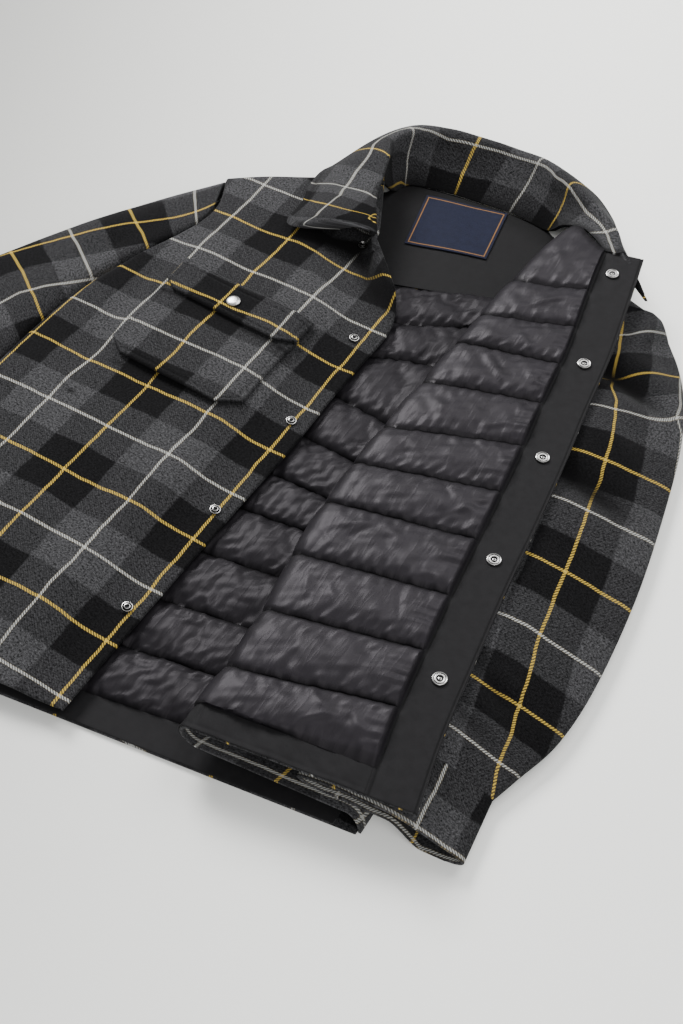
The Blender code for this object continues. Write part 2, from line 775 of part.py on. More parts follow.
def main():
    clear_scene()
    build_back()
    build_back_lining()
    build_back_facings()
    build_right_front()
    build_pocket_piece("chest_pocket", POCKET_TOP, POCKET_BOTTOM, POCKET_CORNER, POCKET_LIFT, WOOL, 9)
    build_pocket_piece("pocket_flap", FLAP_TOP, FLAP_BOTTOM, FLAP_CORNER, FLAP_LIFT, WOOL, 5)
    build_left_front()
    build_left_facings()
    build_left_lining()
    build_sleeve("right_sleeve", RIGHT_SLEEVE, SLEEVE_WALL, SLEEVE_POINTS, 14, False)
    build_sleeve("right_cuff", RIGHT_CUFF, CUFF_WALL, SLEEVE_POINTS, 3, False)
    build_sleeve("left_sleeve", LEFT_SLEEVE, SLEEVE_WALL, SLEEVE_POINTS, 16, True)
    build_sleeve("left_cuff", LEFT_CUFF, CUFF_WALL, SLEEVE_POINTS, 3, True)
    build_collar()
    build_snaps()
    centre_on_origin()


main()
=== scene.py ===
"""Looks of the shacket: a checked wool overshirt laid flat, its left front folded back over the sleeve.

Tables and sizes are in millimetres in the garment's own plan: the origin is a crossing of two gold
lines on the right front, +X runs to the wearer's left, +Y to the neck and +Z up from the surface.
"""

import logging
import math
import sys
from dataclasses import dataclass, field
from enum import Enum
from typing import Callable, Sequence

import bpy
import numpy as np
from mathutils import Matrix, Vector


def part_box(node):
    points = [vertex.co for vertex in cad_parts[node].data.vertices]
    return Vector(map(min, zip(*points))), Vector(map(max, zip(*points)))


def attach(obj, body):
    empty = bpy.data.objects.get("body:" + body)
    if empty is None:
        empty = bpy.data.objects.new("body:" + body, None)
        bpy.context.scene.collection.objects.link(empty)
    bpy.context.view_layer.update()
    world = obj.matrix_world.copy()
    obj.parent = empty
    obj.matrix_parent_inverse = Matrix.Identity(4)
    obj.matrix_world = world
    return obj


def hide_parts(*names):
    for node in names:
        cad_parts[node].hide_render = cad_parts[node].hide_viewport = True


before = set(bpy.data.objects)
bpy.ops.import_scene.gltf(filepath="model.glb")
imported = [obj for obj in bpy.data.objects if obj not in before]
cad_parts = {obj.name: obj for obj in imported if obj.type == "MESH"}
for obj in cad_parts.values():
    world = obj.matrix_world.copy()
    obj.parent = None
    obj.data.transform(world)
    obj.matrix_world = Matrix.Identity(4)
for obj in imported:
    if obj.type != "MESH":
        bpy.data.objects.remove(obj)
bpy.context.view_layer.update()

LOG = logging.getLogger("shacket")
MM = 0.001
Array = np.ndarray
Placer = Callable[[Array, Array], Array]
Rows = Sequence[Sequence[float]]
Colour = tuple[float, float, float, float]
Material = bpy.types.Material
Object = bpy.types.Object
Socket = bpy.types.NodeSocket
Node = bpy.types.Node
Tree = bpy.types.NodeTree

# Where the plan's origin lies in the row frame: the label's right end is at x -66, y 217 of the plan
LABEL_LOW = (-66.0, 217.0)
SHIFT = Vector((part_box("label")[0][0] - LABEL_LOW[0] * MM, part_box("label")[0][1] - LABEL_LOW[1] * MM, 0.0))

# Thickness of the wool and of the facings, the gap at seams, and the height of a seam that lies flat
WOOL = 2.5
FACING = 1.2
SEAM_GAP = 0.3
LAID_SEAM = 4.25
# The hem's y at x = 0, and its slope
HEM_MIDDLE = -466.0
HEM_SLOPE = 0.14

# The right front's side and armhole, from hem to shoulder point: x, y
RIGHT_SIDE = (
    (-305, -509), (-305, -400), (-305, -290), (-305, -180), (-305, -100),
    (-296, -30), (-278, 24), (-256, 74), (-247, 110), (-250, 144), (-269, 188),
)
# The left side and armhole, from hem to shoulder point: x, y
LEFT_SIDE = (
    (277, -427), (277, -340), (277, -250), (277, -160), (277, -70),
    (272, 0), (258, 60), (242, 110), (232, 155), (232, 200), (243, 249),
)
# The top of the back, from the right shoulder point over the neck to the left one: x, y
BACK_TOP = (
    (-269, 188), (-215, 222), (-162, 256), (-112, 290), (-98, 316), (-40, 326),
    (20, 330), (72, 328), (92, 318), (142, 296), (192, 273), (243, 249),
)
# The top of the right front, shoulder then neck, ending at the placket's top corner: x, y
RIGHT_FRONT_TOP = (
    (-269, 188), (-229, 213), (-190, 238), (-152, 263), (-118, 285),
    (-104, 262), (-97, 236), (-90, 206), (-74, 184), (-56, 170),
)
# The right front edge from hem to the placket's top corner: x, y, height of the cloth
RIGHT_FRONT_EDGE = (
    (11, -463, 17.5), (11, -416, 17.5), (12, -350, 17.5), (13, -270, 17.5), (15, -190, 17.5),
    (17, -110, 17.5), (15, -40, 17.5), (16, 20, 18.5), (16, 70, 25), (3, 108, 33),
    (-22, 136, 36), (-56, 170, 38),
)
# The left front from hem to neck: ridge centre x, y; front edge x, y; height of the upper layer at its edge
LEFT_FRONT = (
    (128, -438, 319, -408, 47), (130, -366, 304, -338, 48), (124, -296, 292, -258, 48),
    (112, -222, 281, -180, 48), (107, -146, 272, -104, 48), (107, -66, 262, -28, 48),
    (110, 14, 250, 48, 48), (113, 92, 240, 122, 49), (117, 172, 226, 196, 51),
    (130, 292, 210, 273, 53),
)
# Sleeves from armhole to cuff seam: outer fold x, y; inner fold x, y; height of the crown
RIGHT_SLEEVE = (
    (-271, 192, -247, 139, 23), (-305, 144, -240, 88, 25), (-344, 84, -262, 34, 26),
    (-380, 20, -285, -36, 27), (-412, -44, -300, -112, 27), (-443, -112, -305, -184, 28),
    (-472, -182, -318, -248, 28), (-498, -250, -340, -312, 26), (-518, -314, -372, -356, 24),
)
RIGHT_CUFF = ((-518.1, -314.3, -372.1, -356.3, 24), (-535, -380, -391, -420, 25))
LEFT_SLEEVE = (
    (247, 226, 165, 205, 36), (279, 206, 152, 168, 39), (312, 156, 150, 112, 42),
    (337, 92, 154, 48, 44), (355, 14, 163, -32, 44), (374, -96, 178, -122, 44),
    (383, -202, 194, -216, 44), (380, -272, 202, -282, 44), (366, -320, 207, -326, 43),
    (357, -348, 211, -356, 42),
)
LEFT_CUFF = ((357, -348.3, 211, -356.3, 42), (363, -408, 217, -422, 43))
# The collar round the neck, from the right front end to the left one:
# base x, y, z; roll line x, y, z; free edge x, y, z; outward push of the leaf's middle
COLLAR = (
    (-62, 174, 40, -57, 166, 52, -98, 160, 45, 7), (-77, 190, 40, -70, 184, 58, -152, 142, 39, 8),
    (-93, 212, 38, -84, 210, 62, -160, 184, 38, 7), (-101, 238, 37, -94, 240, 62, -169, 214, 37, 7),
    (-107, 264, 35, -104, 272, 61, -171, 245, 36, 7), (-103, 290, 6, -120, 312, 57, -171, 291, 16, 7),
    (-93, 311, 4.6, -104, 352, 54, -146, 362, 5, 8), (-63, 319, 4.6, -70, 368, 51, -96, 392, 5, 6),
    (-20, 324, 4.6, -12, 376, 50, -14, 402, 5, 4), (35, 326, 4.8, 46, 372, 51, 62, 396, 5, 5),
    (80, 319, 6, 88, 352, 54, 122, 374, 5, 8), (104, 308, 30, 124, 328, 58, 158, 340, 6, 7),
    (136, 290, 50, 162, 300, 61, 174, 284, 36, 4), (170, 264, 54, 190, 268, 58, 236, 226, 44, 1),
)
COLLAR_CROSS = (
    (0.0, -45), (0.065, 0), (0.14, 73), (0.325, 146), (0.44, 219), (0.582, 292),
    (0.685, 365), (0.775, 438), (0.938, 511), (1.0, 560),
)
# Where the pale line that runs round the neck lies: place round the neck, share across from the base
COLLAR_PALE = (
    (0.0, 0.95), (0.06, 0.92), (0.08, 0.81), (0.146, 0.714), (0.257, 0.664), (0.347, 0.63), (0.42, 0.58),
    (0.47, 0.46), (0.533, 0.41), (0.6, 0.412), (0.7, 0.45), (0.78, 0.43), (0.864, 0.31), (1.0, 0.2),
)
# Seams of the back lining: y where they meet x = 10, and their slope
BACK_SEAMS = (
    (-435, 0.19), (-380, 0.19), (-322, 0.18), (-259, 0.17), (-197, 0.12),
    (-146, 0.03), (-88, -0.05), (-25, -0.1), (42, 0.35), (98, 0.5), (160, 0.42),
)
# Seams of the left front's lining, from the hem band up: y on top of the ridge, y beside the strip
LEFT_SEAMS = (
    (-420, -384), (-371, -334), (-307, -275), (-243, -214), (-178, -148), (-124, -88),
    (-70, -27), (1, 32), (66, 88), (115, 143), (178, 199), (288, 262),
)
LABEL = ((-47, 217), (44, 240), (29, 323), (-66, 303))


class Slot(Enum):
    """The record's material slots."""

    WOOL = "wool"
    QUILT = "quilt"
    FACING = "facing"
    LABEL = "label"
    METAL = "metal"


class Held(Enum):
    """How a cut piece of cloth is held."""

    LAID = "laid"
    FOLDED = "folded"


# Numbers and curves


def lerp(a: Array | float, b: Array | float, t: Array | float) -> Array | float:
    """The value this far from a to b."""
    return a + (b - a) * t


def smoothstep(x: Array | float) -> Array:
    """A smooth rise from 0 at 0 to 1 at 1."""
    x = np.clip(x, 0.0, 1.0)
    return x * x * (3 - 2 * x)


def hump(x: Array | float, centre: float, width: float) -> Array:
    """A bell of height 1 and this width round the centre."""
    return np.exp(-(((x - centre) / width) ** 2))


def bend(a: Array, b: Array, c: Array, d: Array, s: Array) -> Array:
    """Points this far from b to c on a smooth curve through a, b, c and d."""
    square = (2 * a - 5 * b + 4 * c - d) * s**2
    cube = (3 * b - a - 3 * c + d) * s**3
    return 0.5 * (2 * b + (c - a) * s + square + cube)


def spline(rows: Rows, t: Array) -> Array:
    """Points of a smooth curve through the rows.

    Args:
        rows: The values that the curve passes through, evenly spaced.
        t: Places on the curve, from 0 to 1.

    Returns:
        One row of values for each place.
    """
    table = np.asarray(rows, float)
    last = len(table) - 1
    place = np.clip(np.asarray(t, float), 0.0, 1.0) * last
    k = np.minimum(place.astype(int), last - 1)
    s = (place - k)[..., None]
    return bend(*(table[np.clip(k + j, 0, last)] for j in (-1, 0, 1, 2)), s)


def spline_linear(rows: Rows, place: Array) -> Array:
    """Rows looked up at fractional places, straight between them."""
    table = np.asarray(rows, float)
    k = np.clip(place.astype(int), 0, len(table) - 2)
    return lerp(table[k], table[k + 1], (place - k)[:, None])


def side_at(curve: Rows, y: Array) -> Array:
    """The x of a side of the body at these y."""
    points = spline(curve, np.linspace(0, 1, 400))
    order = np.argsort(points[:, 1])
    return np.interp(y, points[order, 1], points[order, 0])


def stacked(*columns: Array) -> Array:
    """Points from their x, y and z."""
    return np.stack(np.broadcast_arrays(*columns), axis=-1)


def unit(vectors: Array) -> Array:
    """The vectors at a length of 1."""
    return vectors / np.maximum(np.linalg.norm(vectors, axis=1, keepdims=True), 1e-9)


def coons(u: Array, v: Array, bottom: Callable, top: Callable, left: Callable, right: Callable) -> Array:
    """Points filling the space between four boundary curves.

    Args:
        u: Places across, from 0 to 1.
        v: Places along, from 0 to 1.
        bottom: The curve at v = 0, a function of u.
        top: The curve at v = 1, a function of u.
        left: The curve at u = 0, a function of v.
        right: The curve at u = 1, a function of v.

    Returns:
        A point for each place.
    """
    zero, one = np.zeros(1), np.ones(1)
    across, along = u[:, None], v[:, None]
    low = bottom(zero) * (1 - across) + bottom(one) * across
    high = top(zero) * (1 - across) + top(one) * across
    sides = left(v) * (1 - across) + right(v) * across
    ends = bottom(u) * (1 - along) + top(u) * along
    return sides + ends - (low * (1 - along) + high * along)


class Ripples:
    """A soft uneven surface made of a few waves in seeded directions."""

    def __init__(self, seed: int, wavelength: float, count: int = 7) -> None:
        """Draws the waves.

        Args:
            seed: Chooses the waves.
            wavelength: Their middle length.
            count: How many there are.
        """
        rng = np.random.default_rng(seed)
        turn = rng.uniform(0, 2 * math.pi, count)
        size = 2 * math.pi / (wavelength * rng.uniform(0.6, 1.7, count))
        self.kx, self.ky = np.cos(turn) * size, np.sin(turn) * size
        self.start = rng.uniform(0, 2 * math.pi, count)

    def at(self, x: Array, y: Array) -> Array:
        """Heights from about -1 to 1 at these places."""
        total = np.zeros(np.shape(x))
        for kx, ky, start in zip(self.kx, self.ky, self.start):
            total = total + np.sin(kx * x + ky * y + start)
        return total / math.sqrt(len(self.kx))


def creases(x: Array, y: Array, table: Rows) -> Array:
    """Height of soft ridges and troughs over a panel.

    Args:
        x: Places on the panel.
        y: Places on the panel.
        table: Rows of start x, y; end x, y; height; half width.

    Returns:
        The height that they add.
    """
    total = np.zeros(np.shape(x))
    for x0, y0, x1, y1, height, width in table:
        dx, dy = x1 - x0, y1 - y0
        length = math.hypot(dx, dy)
        along = ((x - x0) * dx + (y - y0) * dy) / length
        away = ((x - x0) * -dy + (y - y0) * dx) / length
        ends = smoothstep(along / (0.35 * length)) * smoothstep((length - along) / (0.35 * length))
        total = total + height * np.exp(-((away / width) ** 2)) * ends
    return total


# Meshes


def deselect_all() -> None:
    """Leaves nothing selected."""
    if bpy.context.mode != "OBJECT":
        bpy.ops.object.mode_set(mode="OBJECT")
    bpy.ops.object.select_all(action="DESELECT")


def choose(obj: Object) -> None:
    """Makes this object the only one selected, and active."""
    deselect_all()
    obj.select_set(True)
    bpy.context.view_layer.objects.active = obj


def apply_modifiers(obj: Object) -> None:
    """Applies every modifier of the object in order."""
    choose(obj)
    for modifier in list(obj.modifiers):
        bpy.ops.object.modifier_apply(modifier=modifier.name)


def points_of(obj: Object) -> Array:
    """The object's points, in its own frame."""
    flat = np.empty(len(obj.data.vertices) * 3)
    obj.data.vertices.foreach_get("co", flat)
    return flat.reshape(-1, 3)


def set_points(obj: Object, points: Array) -> None:
    """Moves the object's points."""
    obj.data.vertices.foreach_set("co", np.ascontiguousarray(points, float).ravel())
    obj.data.update()


def write_shade(obj: Object, shade: Array) -> None:
    """Keeps how dark each point is drawn as painted shade, in seams and hollows, for the finishes to read."""
    # The seam mark holds painted shade, also in hollows and under other parts away from any seam.
    layer = obj.data.attributes.new("seam", "FLOAT", "POINT")
    layer.data.foreach_set("value", np.clip(shade, 0.0, 1.0))


def to_row(points: Array) -> Array:
    """Millimetres in the plan as metres in the row frame."""
    return points * MM + np.array(SHIFT)


def normals_at(place: Placer, u: Array, v: Array, step: float = 2e-3) -> Array:
    """Unit normals of a surface, from small steps both ways."""
    du = place(np.clip(u + step, 0, 1), v) - place(np.clip(u - step, 0, 1), v)
    dv = place(u, np.clip(v + step, 0, 1)) - place(u, np.clip(v - step, 0, 1))
    return unit(np.cross(du, dv))


def in_plan(place: Placer) -> Placer:
    """A pattern that lies straight over a piece as seen from above."""
    return lambda u, v: place(u, v)[:, :2]


@dataclass
class Cloth:
    """A cut piece of cloth laid on a surface.

    place gives its points in the plan from places u, v on the cut, and pattern their millimetres on the
    cloth's own check or weave.
    """

    name: str
    columns: int
    rows: int
    place: Placer
    pattern: Placer
    thickness: float = WOOL
    low: float = -1.0
    closed: bool = False
    edge: float = 0.8
    even_u: Callable[[Array], Array] = field(default=lambda u: u)
    even_v: Callable[[Array], Array] = field(default=lambda v: v)
    # shade gives painted shade: how dark each point is drawn in grooves, hollows and under other parts.
    shade: Placer | None = None

    def grid(self) -> Object:
        """Adds the bare grid with its points in place and its pattern map."""
        deselect_all()
        bpy.ops.mesh.primitive_grid_add(x_subdivisions=self.columns, y_subdivisions=self.rows, size=1)
        obj = bpy.context.active_object
        obj.name = obj.data.name = self.name
        flat = points_of(obj)
        u, v = self.even_u(flat[:, 0] + 0.5), self.even_v(flat[:, 1] + 0.5)
        set_points(obj, to_row(self.place(u, v)))
        self.map_pattern(obj, self.pattern(u, v))
        # Painted shade kept on the points.
        if self.shade:
            write_shade(obj, self.shade(u, v))
        return obj

    @staticmethod
    def map_pattern(obj: Object, pattern: Array) -> None:
        """Writes the pattern's millimetres as metres in the UV map."""
        layer = obj.data.uv_layers[0]
        layer.name = "cut"
        corners = np.empty(len(obj.data.loops), int)
        obj.data.loops.foreach_get("vertex_index", corners)
        layer.data.foreach_set("uv", (pattern[corners] * MM).ravel())

    def thicken(self, obj: Object) -> None:
        """Gives the cloth its thickness and softly rounded edges."""
        if self.closed:
            choose(obj)
            bpy.ops.object.mode_set(mode="EDIT")
            bpy.ops.mesh.select_all(action="SELECT")
            bpy.ops.mesh.remove_doubles(threshold=1e-5)
            bpy.ops.object.mode_set(mode="OBJECT")
        solid = obj.modifiers.new("thickness", "SOLIDIFY")
        solid.thickness = self.thickness * MM
        solid.offset = self.low
        solid.use_even_offset = False
        if self.edge:
            bevel = obj.modifiers.new("edge", "BEVEL")
            bevel.width = self.edge * MM
            bevel.segments = 2
            bevel.limit_method = "ANGLE"
            bevel.angle_limit = math.radians(62)
        apply_modifiers(obj)
        choose(obj)
        bpy.ops.object.shade_smooth_by_angle(angle=math.radians(70))

    def build(self) -> Object:
        """Builds the finished cloth."""
        obj = self.grid()
        self.thicken(obj)
        return obj

    def cut_size(self) -> tuple[tuple[float, float], float]:
        """The flat cut's width and length, and its area, in metres."""
        u, v = np.meshgrid(np.linspace(0, 1, 121), np.linspace(0, 1, 161))
        points = self.place(self.even_u(u.ravel()), self.even_v(v.ravel())).reshape(161, 121, 3) * MM
        across = np.diff(points, axis=1)
        along = np.diff(points, axis=0)
        width = np.linalg.norm(across, axis=2).sum(axis=1).max()
        length = np.linalg.norm(along, axis=2).sum(axis=0).max()
        area = np.linalg.norm(np.cross(across[:-1], along[:, :-1]), axis=2).sum()
        return (round(float(width), 4), round(float(length), 4)), float(min(area, width * length))


def report(obj: Object) -> None:
    """Logs one finished piece."""
    low, high = points_of(obj).min(axis=0), points_of(obj).max(axis=0)
    size = " x ".join(f"{side * 1000:.0f}" for side in high - low)
    LOG.info("%s: %d faces, %s mm", obj.name, len(obj.data.polygons), size)


def finish_piece(obj: Object, material: Material, nodes: Sequence[str] = ()) -> None:
    """Dresses a piece, lets it ride with the garment and hides the nodes that it stands for.

    Args:
        obj: The piece.
        material: Its finish.
        nodes: The nodes that it replaces.
    """
    obj.data.materials.clear()
    obj.data.materials.append(material)
    if nodes:
        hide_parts(*nodes)
    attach(obj, "root")
    report(obj)


def lay_cloth(cloth: Cloth, material: Material, node: str) -> Object:
    """Args:
        cloth: The cut piece.
        material: Its finish.
        node: The node that it replaces.

    Returns:
        The finished piece.
    """
    obj = cloth.build()
    finish_piece(obj, material, [node])
    flat, area = cloth.cut_size()
    return obj


# Shader nodes


class Graph:
    """Adds nodes to a tree in few words."""

    def __init__(self, tree: Tree) -> None:
        """Keeps the tree."""
        self.tree = tree

    def node(self, kind: str, **settings: object) -> Node:
        """Adds a node with these settings."""
        made = self.tree.nodes.new(kind)
        for name, value in settings.items():
            setattr(made, name, value)
        return made

    def feed(self, socket: Socket, value: object) -> None:
        """Links a socket to the input, or sets its number or colour."""
        if isinstance(value, Socket):
            self.tree.links.new(value, socket)
        else:
            socket.default_value = value

    def math(self, operation: str, *values: object) -> Socket:
        """A number worked out from one to three others."""
        made = self.node("ShaderNodeMath", operation=operation)
        for socket, value in zip(made.inputs, values):
            self.feed(socket, value)
        return made.outputs[0]

    def ramp(self, value: object, low: float, high: float, out_low: float = 0.0,
             out_high: float = 1.0) -> Socket:
        """A smooth rise of the value between two limits."""
        made = self.node("ShaderNodeMapRange", interpolation_type="SMOOTHSTEP")
        for socket, entry in zip(made.inputs[:5], (value, low, high, out_low, out_high)):
            self.feed(socket, entry)
        return made.outputs[0]

    def mix(self, factor: object, first: object, second: object, blend: str = "MIX") -> Socket:
        """A colour between two others."""
        made = self.node("ShaderNodeMix", data_type="RGBA", blend_type=blend)
        self.feed(made.inputs[0], factor)
        self.feed(made.inputs[6], first)
        self.feed(made.inputs[7], second)
        return made.outputs[2]

    def noise(self, place: object, scale: object, detail: float = 2.0, rough: float = 0.5) -> Socket:
        """Smooth noise from 0 to 1."""
        made = self.node("ShaderNodeTexNoise")
        self.feed(made.inputs["Vector"], place)
        self.feed(made.inputs["Scale"], scale)
        made.inputs["Detail"].default_value = detail
        made.inputs["Roughness"].default_value = rough
        return made.outputs["Fac"]

    def scaled(self, place: object, scale: tuple[float, float, float], turn: float = 0.0) -> Socket:
        """A place stretched, and turned in plan."""
        made = self.node("ShaderNodeMapping")
        self.feed(made.inputs["Vector"], place)
        made.inputs["Scale"].default_value = scale
        made.inputs["Rotation"].default_value = (0.0, 0.0, turn)
        return made.outputs[0]

    def axes(self, place: object) -> Sequence[Socket]:
        """The x, y and z of a place."""
        made = self.node("ShaderNodeSeparateXYZ")
        self.feed(made.inputs[0], place)
        return made.outputs

    def vector(self, operation: str, *values: object) -> Socket:
        """A vector worked out from one to three others."""
        made = self.node("ShaderNodeVectorMath", operation=operation)
        for socket, value in zip(made.inputs, values):
            self.feed(socket, value)
        return made.outputs[0]

    def cut(self) -> Socket:
        """The place on the cloth's own cut."""
        return self.node("ShaderNodeUVMap", uv_map="cut").outputs[0]

    def kept(self, name: str) -> Socket:
        """A value kept on the mesh's points."""
        return self.node("ShaderNodeAttribute", attribute_name=name).outputs["Fac"]

    def object_place(self) -> Socket:
        """The place in the object's own frame."""
        return self.node("ShaderNodeTexCoord").outputs["Object"]

    @staticmethod
    def surface(shader: Node, roughness: float, specular: float) -> None:
        """Sets how a plain surface shines."""
        shader.inputs["Roughness"].default_value = roughness
        shader.inputs["Specular IOR Level"].default_value = specular

    def bump(self, shader: Node, strength: float, distance: float, height: object) -> None:
        """Roughens the surface by a height.

        Args:
            shader: The material's shader.
            strength: How strongly it is roughened.
            distance: How far a height of 1 stands out, in metres.
            height: The height.
        """
        made = self.node("ShaderNodeBump")
        made.inputs["Strength"].default_value = strength
        made.inputs["Distance"].default_value = distance
        self.feed(made.inputs["Height"], height)
        self.feed(shader.inputs["Normal"], made.outputs[0])


def new_group(name: str, inputs: Sequence[tuple[str, str]], outputs: Sequence[tuple[str, str]]) -> tuple:
    """A new shader node group.

    Args:
        name: The group's name.
        inputs: Name and socket kind of each input.
        outputs: Name and socket kind of each output.

    Returns:
        The group's tree, its graph, its input node and its output node.
    """
    tree = bpy.data.node_groups.new(name, "ShaderNodeTree")
    for socket, kind in inputs:
        tree.interface.new_socket(name=socket, in_out="INPUT", socket_type=f"NodeSocket{kind}")
    for socket, kind in outputs:
        tree.interface.new_socket(name=socket, in_out="OUTPUT", socket_type=f"NodeSocket{kind}")
    graph = Graph(tree)
    return tree, graph, graph.node("NodeGroupInput"), graph.node("NodeGroupOutput")


def yarn_group() -> Tree:
    """Yarns that lie one way: dark and grey bands, with a gold and a pale line in each repeat."""
    inputs = [("Place", "Float"), ("Sett", "Float"), ("Line", "Float"), ("Dark", "Color"), ("Grey", "Color"),
              ("Gold", "Color"), ("Pale", "Color")]
    outputs = [("Band", "Color"), ("Line", "Color"), ("Mask", "Float")]
    tree, g, start, end = new_group("yarn_bands", inputs, outputs)
    repeat = g.math("DIVIDE", start.outputs["Place"], start.outputs["Sett"])
    from_gold = g.math("ABSOLUTE", g.math("SUBTRACT", g.math("FRACT", g.math("ADD", repeat, 0.5)), 0.5))
    from_pale = g.math("SUBTRACT", 0.5, from_gold)
    half_line = g.math("DIVIDE", g.math("MULTIPLY", start.outputs["Line"], 0.5), start.outputs["Sett"])
    band = g.ramp(from_gold, 0.241, 0.259)
    gold = g.ramp(g.math("DIVIDE", from_gold, half_line), 1.25, 0.75)
    pale = g.ramp(g.math("DIVIDE", from_pale, half_line), 1.25, 0.75)
    g.feed(end.inputs["Band"], g.mix(band, start.outputs["Dark"], start.outputs["Grey"]))
    g.feed(end.inputs["Line"], g.mix(pale, start.outputs["Gold"], start.outputs["Pale"]))
    g.feed(end.inputs["Mask"], g.math("MAXIMUM", gold, pale))
    return tree


def twill_group() -> Tree:
    """Which yarn is on top in a twill, and the height of its ribs."""
    inputs = [("Place", "Vector"), ("Pitch", "Float")]
    tree, g, start, end = new_group("twill", inputs, [("Over", "Float"), ("Height", "Float")])
    bent = g.node("ShaderNodeSeparateXYZ")
    g.feed(bent.inputs[0], start.outputs["Place"])
    wander = g.math("MULTIPLY", g.math("SUBTRACT", g.noise(start.outputs["Place"], 300.0), 0.5), 0.0012)
    along = g.math("ADD", g.math("ADD", bent.outputs[0], bent.outputs[1]), wander)
    wave = g.math("SINE", g.math("MULTIPLY", g.math("DIVIDE", along, start.outputs["Pitch"]), 2 * math.pi))
    g.feed(end.inputs["Over"], g.ramp(wave, -0.5, 0.5))
    g.feed(end.inputs["Height"], g.math("ABSOLUTE", wave))
    return tree


def heather_group() -> Tree:
    """Light and dark fibres mixed in a brushed yarn, as a factor round 1, and their height."""
    inputs = [("Place", "Vector"), ("Amount", "Float")]
    tree, g, start, end = new_group("heather", inputs, [("Factor", "Float"), ("Height", "Float")])
    fine = g.noise(g.scaled(start.outputs["Place"], (1.0, 1.3, 1.0), 0.5), 420.0, 3.0, 0.85)
    slow = g.noise(start.outputs["Place"], 140.0, 2.0)
    spread = g.math("MULTIPLY", g.math("SUBTRACT", fine, 0.5), start.outputs["Amount"])
    cloud = g.math("MULTIPLY", g.math("SUBTRACT", slow, 0.5), 0.6)
    g.feed(end.inputs["Factor"], g.math("MAXIMUM", g.math("ADD", 1.0, g.math("ADD", spread, cloud)), 0.08))
    g.feed(end.inputs["Height"], fine)
    return tree


def crinkle_group() -> Tree:
    """Fine pulled wrinkles of a light nylon, as a height and a shade."""
    inputs = [("Place", "Vector")]
    tree, g, start, end = new_group("crinkle", inputs, [("Height", "Float"), ("Shade", "Float")])
    pulled = g.noise(g.scaled(start.outputs["Place"], (1.0, 0.22, 1.0), 0.75), 62.0, 2.0, 0.45)
    crossed = g.noise(g.scaled(start.outputs["Place"], (1.0, 0.25, 1.0), -0.35), 48.0, 2.0, 0.45)
    ridged = [g.math("ABSOLUTE", g.math("SUBTRACT", noise, 0.5)) for noise in (pulled, crossed)]
    soft = g.math("MULTIPLY", g.math("ADD", ridged[0], ridged[1]), 1.15)
    drawn = g.noise(g.scaled(start.outputs["Place"], (1.0, 0.16, 1.0), 0.5), 105.0, 3.0, 0.5)
    ridge = g.math("ABSOLUTE", g.math("SUBTRACT", drawn, 0.5))
    crest = g.math("SUBTRACT", 1.0, g.math("MULTIPLY", 2.0, ridge))
    g.feed(end.inputs["Height"], g.math("MULTIPLY_ADD", g.math("POWER", crest, 9.0), 0.17, soft))
    slow = g.noise(start.outputs["Place"], 30.0, 2.0)
    g.feed(end.inputs["Shade"], g.ramp(slow, 0.3, 0.7, 0.85, 1.15))
    return tree


class Finishes:
    """Node groups and materials that the pieces share."""

    def __init__(self) -> None:
        """Builds every group once."""
        self.yarn = yarn_group()
        self.twill = twill_group()
        self.heather = heather_group()
        self.crinkle = crinkle_group()

    @staticmethod
    def start(name: str) -> tuple[Material, Graph, Node]:
        """A new material with its graph and its Principled shader."""
        made = bpy.data.materials.new(name)
        made.use_nodes = True
        return made, Graph(made.node_tree), made.node_tree.nodes["Principled BSDF"]

    @staticmethod
    def group(g: Graph, tree: Tree, **values: object) -> Node:
        """Places a group with its values."""
        made = g.node("ShaderNodeGroup", node_tree=tree)
        for name, value in values.items():
            g.feed(made.inputs[name.replace("_", " ")], value)
        return made


